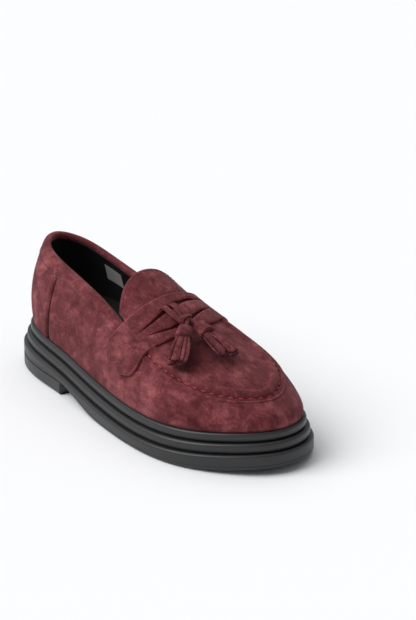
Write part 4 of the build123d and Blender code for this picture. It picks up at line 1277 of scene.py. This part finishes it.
class LoaferColours(bpy.types.PropertyGroup):
    """Colours of the finishes"""
    suede_dark: bpy.props.FloatVectorProperty(
        name="Suede shade", description="Dark tone of the suede", subtype="COLOR", size=3,
        default=(0.062, 0.0095, 0.0125), min=0, max=1)
    suede_light: bpy.props.FloatVectorProperty(
        name="Suede light", description="Light tone of the suede", subtype="COLOR", size=3,
        default=(0.31, 0.088, 0.094), min=0, max=1)
    rubber: bpy.props.FloatVectorProperty(
        name="Sole rubber", description="Colour of the sole", subtype="COLOR", size=3,
        default=(0.018, 0.018, 0.019), min=0, max=1)
    lining: bpy.props.FloatVectorProperty(
        name="Lining", description="Colour of the lining leather", subtype="COLOR", size=3,
        default=(0.006, 0.006, 0.007), min=0, max=1)
    hand_thread: bpy.props.FloatVectorProperty(
        name="Hand stitch thread", description="Thread round the apron", subtype="COLOR", size=3,
        default=(0.42, 0.035, 0.04), min=0, max=1)


class LoaferSizes(bpy.types.PropertyGroup):
    """Sizes of the stitches"""
    stitch_pitch: bpy.props.FloatProperty(
        name="Hand stitch pitch", description="Between stitches of the apron", default=0.0062, min=0.002,
        unit="LENGTH")
    stitch_length: bpy.props.FloatProperty(
        name="Hand stitch length", description="Length of one hand stitch", default=0.0036, min=0.001,
        unit="LENGTH")
    seam_pitch: bpy.props.FloatProperty(
        name="Seam stitch pitch", description="Between the fine machine stitches", default=0.0028,
        min=0.001, unit="LENGTH")


class LOAFER_OT_wall(bpy.types.Operator):
    """Suede panels of the wall: vamp, medial quarter and heel panel"""
    bl_idname = "loafer.wall"
    bl_label = "Wall panels"

    def execute(self, context):
        vamp = wall_panel("vamp_wall_suede", LATERAL_SEAM, STRAP_SEAM, 0.0, 1.1)
        dress(vamp, ("vamp_wall",))
        quarter = wall_panel("medial_quarter_suede", STRAP_SEAM, MEDIAL_SEAM, 0.0)
        dress(quarter, ("medial_quarter",))
        heel = wall_panel("heel_panel_suede", MEDIAL_SEAM, LATERAL_SEAM + COUNT, 0.5, folded=True)
        dress(heel, ("heel_panel",))
        return {"FINISHED"}


class LOAFER_OT_binding(bpy.types.Operator):
    """Binding folded over the top edge"""
    bl_idname = "loafer.binding"
    bl_label = "Topline binding"

    def execute(self, context):
        dress(topline_binding(), ("topline_binding",))
        return {"FINISHED"}


class LOAFER_OT_apron(bpy.types.Operator):
    """Apron over the toes with its hand stitches"""
    bl_idname = "loafer.apron"
    bl_label = "Apron"

    def execute(self, context):
        dress(apron(), ("apron",))
        sizes = context.scene.loafer_sizes
        t = places(5.3, 12.9, 0.03)
        line = moved_in(t, STITCH_INSET + 0.2)
        line[:, 2] += -0.45 + 0.45 * np.clip(np.abs(t - 9.1) - 1.2, 0, 1)
        row = stitches("apron_hand_stitches", [line], sizes.stitch_pitch / MM, sizes.stitch_length / MM,
                       HAND_WIDTH, material("thread"), seed=3)
        dress(row, ("apron_stitching",))
        return {"FINISHED"}


class LOAFER_OT_tongue(bpy.types.Operator):
    """Tongue and its lining"""
    bl_idname = "loafer.tongue"
    bl_label = "Tongue"

    def execute(self, context):
        face, lined = tongue()
        dress(face, ("tongue",))
        dress(lined, ("tongue_lining",))
        return {"FINISHED"}


class LOAFER_OT_strap(bpy.types.Operator):
    """Saddle strap with its slits"""
    bl_idname = "loafer.strap"
    bl_label = "Saddle strap"

    def execute(self, context):
        dress(strap(), ("saddle_strap",))
        return {"FINISHED"}


class LOAFER_OT_knot(bpy.types.Operator):
    """Knot and bow in the middle of the strap"""
    bl_idname = "loafer.knot"
    bl_label = "Knot and bow"

    def execute(self, context):
        dress(knot(), ("knot",))
        dress(bow(), ("bow",))
        return {"FINISHED"}


class LOAFER_OT_tassels(bpy.types.Operator):
    """Cords, heads and fringes of the two tassels"""
    bl_idname = "loafer.tassels"
    bl_label = "Tassels"

    def execute(self, context):
        for side in TASSELS:
            dress(cord_piece(side), (side + "_cord",))
            dress(tassel_head(side), (side + "_tassel_head",))
            dress(fringe(side), (side + "_tassel_fringe",))
        return {"FINISHED"}


class LOAFER_OT_seams(bpy.types.Operator):
    """Fine machine stitches"""
    bl_idname = "loafer.seams"
    bl_label = "Machine stitches"

    def execute(self, context):
        on_shoe, on_tongue = seam_thread_rows()
        pitch = context.scene.loafer_sizes.seam_pitch / MM
        row = stitches("seam_stitches", on_shoe, pitch, pitch * 0.75, SEAM_WIDTH, material("seam_thread"),
                       seed=5)
        dress(row, ())
        row = stitches("tongue_stitches", on_tongue, pitch, pitch * 0.75, SEAM_WIDTH, material("seam_thread"),
                       "tongue_flap", seed=6)
        dress(row, ())
        return {"FINISHED"}


class LOAFER_OT_sole(bpy.types.Operator):
    """Rand, midsole, outsole and heel block"""
    bl_idname = "loafer.sole"
    bl_label = "Sole"

    def execute(self, context):
        for piece, name in zip(sole_pieces(), ("rand", "midsole", "outsole", "heel_block")):
            dress(piece, (name,))
        return {"FINISHED"}


class LOAFER_OT_finishes(bpy.types.Operator):
    """Finishes of the lining, the size label and the inner pieces"""
    bl_idname = "loafer.finishes"
    bl_label = "Sole and lining finishes"

    def execute(self, context):
        for key, names in CAD_FINISH.items():
            made = inner_finish(key) if key in ("foam", "board", "steel") else material(key)
            for name in names:
                node = frame["nodes"][name]
                if node.material_slots:
                    for place in node.material_slots:
                        place.material = made
                else:
                    node.data.materials.append(made)
        return {"FINISHED"}


CAMERA_TURN, CAMERA_RISE, CAMERA_AWAY = -34.0, 20.5, 1.8
LOOK_POINT = (0.00197, 0.00056, 0.045)
LENS, SENSOR = 157.3, 36.0
SHIFT = (0.078, 0.052)
FLOOR_REACH = 40.0
SUNS = {"key": (-112, 46, 45, 2.15), "top": (165, 66, 70, 0.95)}  # bearing, height, spread, power
SKY_COLOUR, SKY_STRENGTH = (0.95, 0.97, 1.0, 1), 0.3


def soft_sun(name, turn, rise, spread, power):
    """Broad even light from a bearing and a height in degrees."""
    lamp = bpy.data.lights.new(name, "SUN")
    lamp.energy, lamp.angle = power, math.radians(spread)
    obj = bpy.data.objects.new(name, lamp)
    turn, rise = math.radians(turn), math.radians(rise)
    way = Vector((math.sin(turn) * math.cos(rise), -math.cos(turn) * math.cos(rise), math.sin(rise)))
    obj.rotation_euler = way.to_track_quat("Z", "Y").to_euler()
    obj.location = way
    bpy.context.scene.collection.objects.link(obj)


class LOAFER_OT_stage(bpy.types.Operator):
    """Pale floor, soft studio light and the camera"""
    bl_idname = "loafer.stage"
    bl_label = "Stage"

    def execute(self, context):
        scene = context.scene
        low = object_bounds()[0][2]
        corners = ((-1, -1), (1, -1), (1, 1), (-1, 1))
        mesh = bpy.data.meshes.new("floor")
        mesh.from_pydata([(x * FLOOR_REACH, y * FLOOR_REACH, low) for x, y in corners], [], [(0, 1, 2, 3)])
        floor = bpy.data.objects.new("floor", mesh)
        scene.collection.objects.link(floor)
        pale = Paint("pale floor")
        floor.data.materials.append(pale.set(Base_Color=(0.93, 0.935, 0.945, 1), Roughness=0.95,
                                             Specular_IOR_Level=0.1))
        floor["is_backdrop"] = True
        for name, (turn, rise, spread, power) in SUNS.items():
            soft_sun(name, turn, rise, spread, power)
        world = bpy.data.worlds.new("studio")
        world.use_nodes = True
        sky = world.node_tree.nodes["Background"]
        sky.inputs["Color"].default_value = SKY_COLOUR
        sky.inputs["Strength"].default_value = SKY_STRENGTH
        scene.world = world
        scene.view_settings.view_transform = "Standard"
        camera = bpy.data.objects.new("camera", bpy.data.cameras.new("camera"))
        turn, rise = math.radians(CAMERA_TURN), math.radians(CAMERA_RISE)
        back = Vector((math.sin(turn) * math.cos(rise), -math.cos(turn) * math.cos(rise), math.sin(rise)))
        right = Vector((math.cos(turn), math.sin(turn), 0))
        up = back.cross(right)
        camera.matrix_world = Matrix((right, up, back)).transposed().to_4x4()
        camera.location = Vector(LOOK_POINT) + back * CAMERA_AWAY
        camera.data.lens, camera.data.sensor_width = LENS, SENSOR
        camera.data.shift_x, camera.data.shift_y = SHIFT
        camera.data.clip_start = 0.05
        scene.collection.objects.link(camera)
        scene.camera = camera
        return {"FINISHED"}


OPERATORS = (LOAFER_OT_wall, LOAFER_OT_binding, LOAFER_OT_apron, LOAFER_OT_tongue, LOAFER_OT_strap,
             LOAFER_OT_knot, LOAFER_OT_tassels, LOAFER_OT_seams, LOAFER_OT_sole, LOAFER_OT_finishes,
             LOAFER_OT_stage)


class LOAFER_PT_panel(bpy.types.Panel):
    """Lists the pieces, colours and sizes"""
    bl_idname = "LOAFER_PT_panel"
    bl_label = "Tassel loafer"
    bl_space_type = "VIEW_3D"
    bl_region_type = "UI"
    bl_category = "Loafer"

    def draw(self, context):
        for group in (context.scene.loafer_colours, context.scene.loafer_sizes):
            for key in group.bl_rna.properties.keys():
                if key not in ("rna_type", "name"):
                    self.layout.prop(group, key)
        for operator in OPERATORS:
            self.layout.operator(operator.bl_idname)


CLASSES = (LoaferColours, LoaferSizes, *OPERATORS, LOAFER_PT_panel)


def register():
    for item in CLASSES:
        bpy.utils.register_class(item)
    bpy.types.Scene.loafer_colours = bpy.props.PointerProperty(type=LoaferColours)
    bpy.types.Scene.loafer_sizes = bpy.props.PointerProperty(type=LoaferSizes)


def unregister():
    del bpy.types.Scene.loafer_colours, bpy.types.Scene.loafer_sizes
    for item in reversed(CLASSES):
        bpy.utils.unregister_class(item)


def main():
    register()
    for operator in OPERATORS:
        group, name = operator.bl_idname.split(".")
        getattr(getattr(bpy.ops, group), name)()


if __name__ == "__main__":
    main()
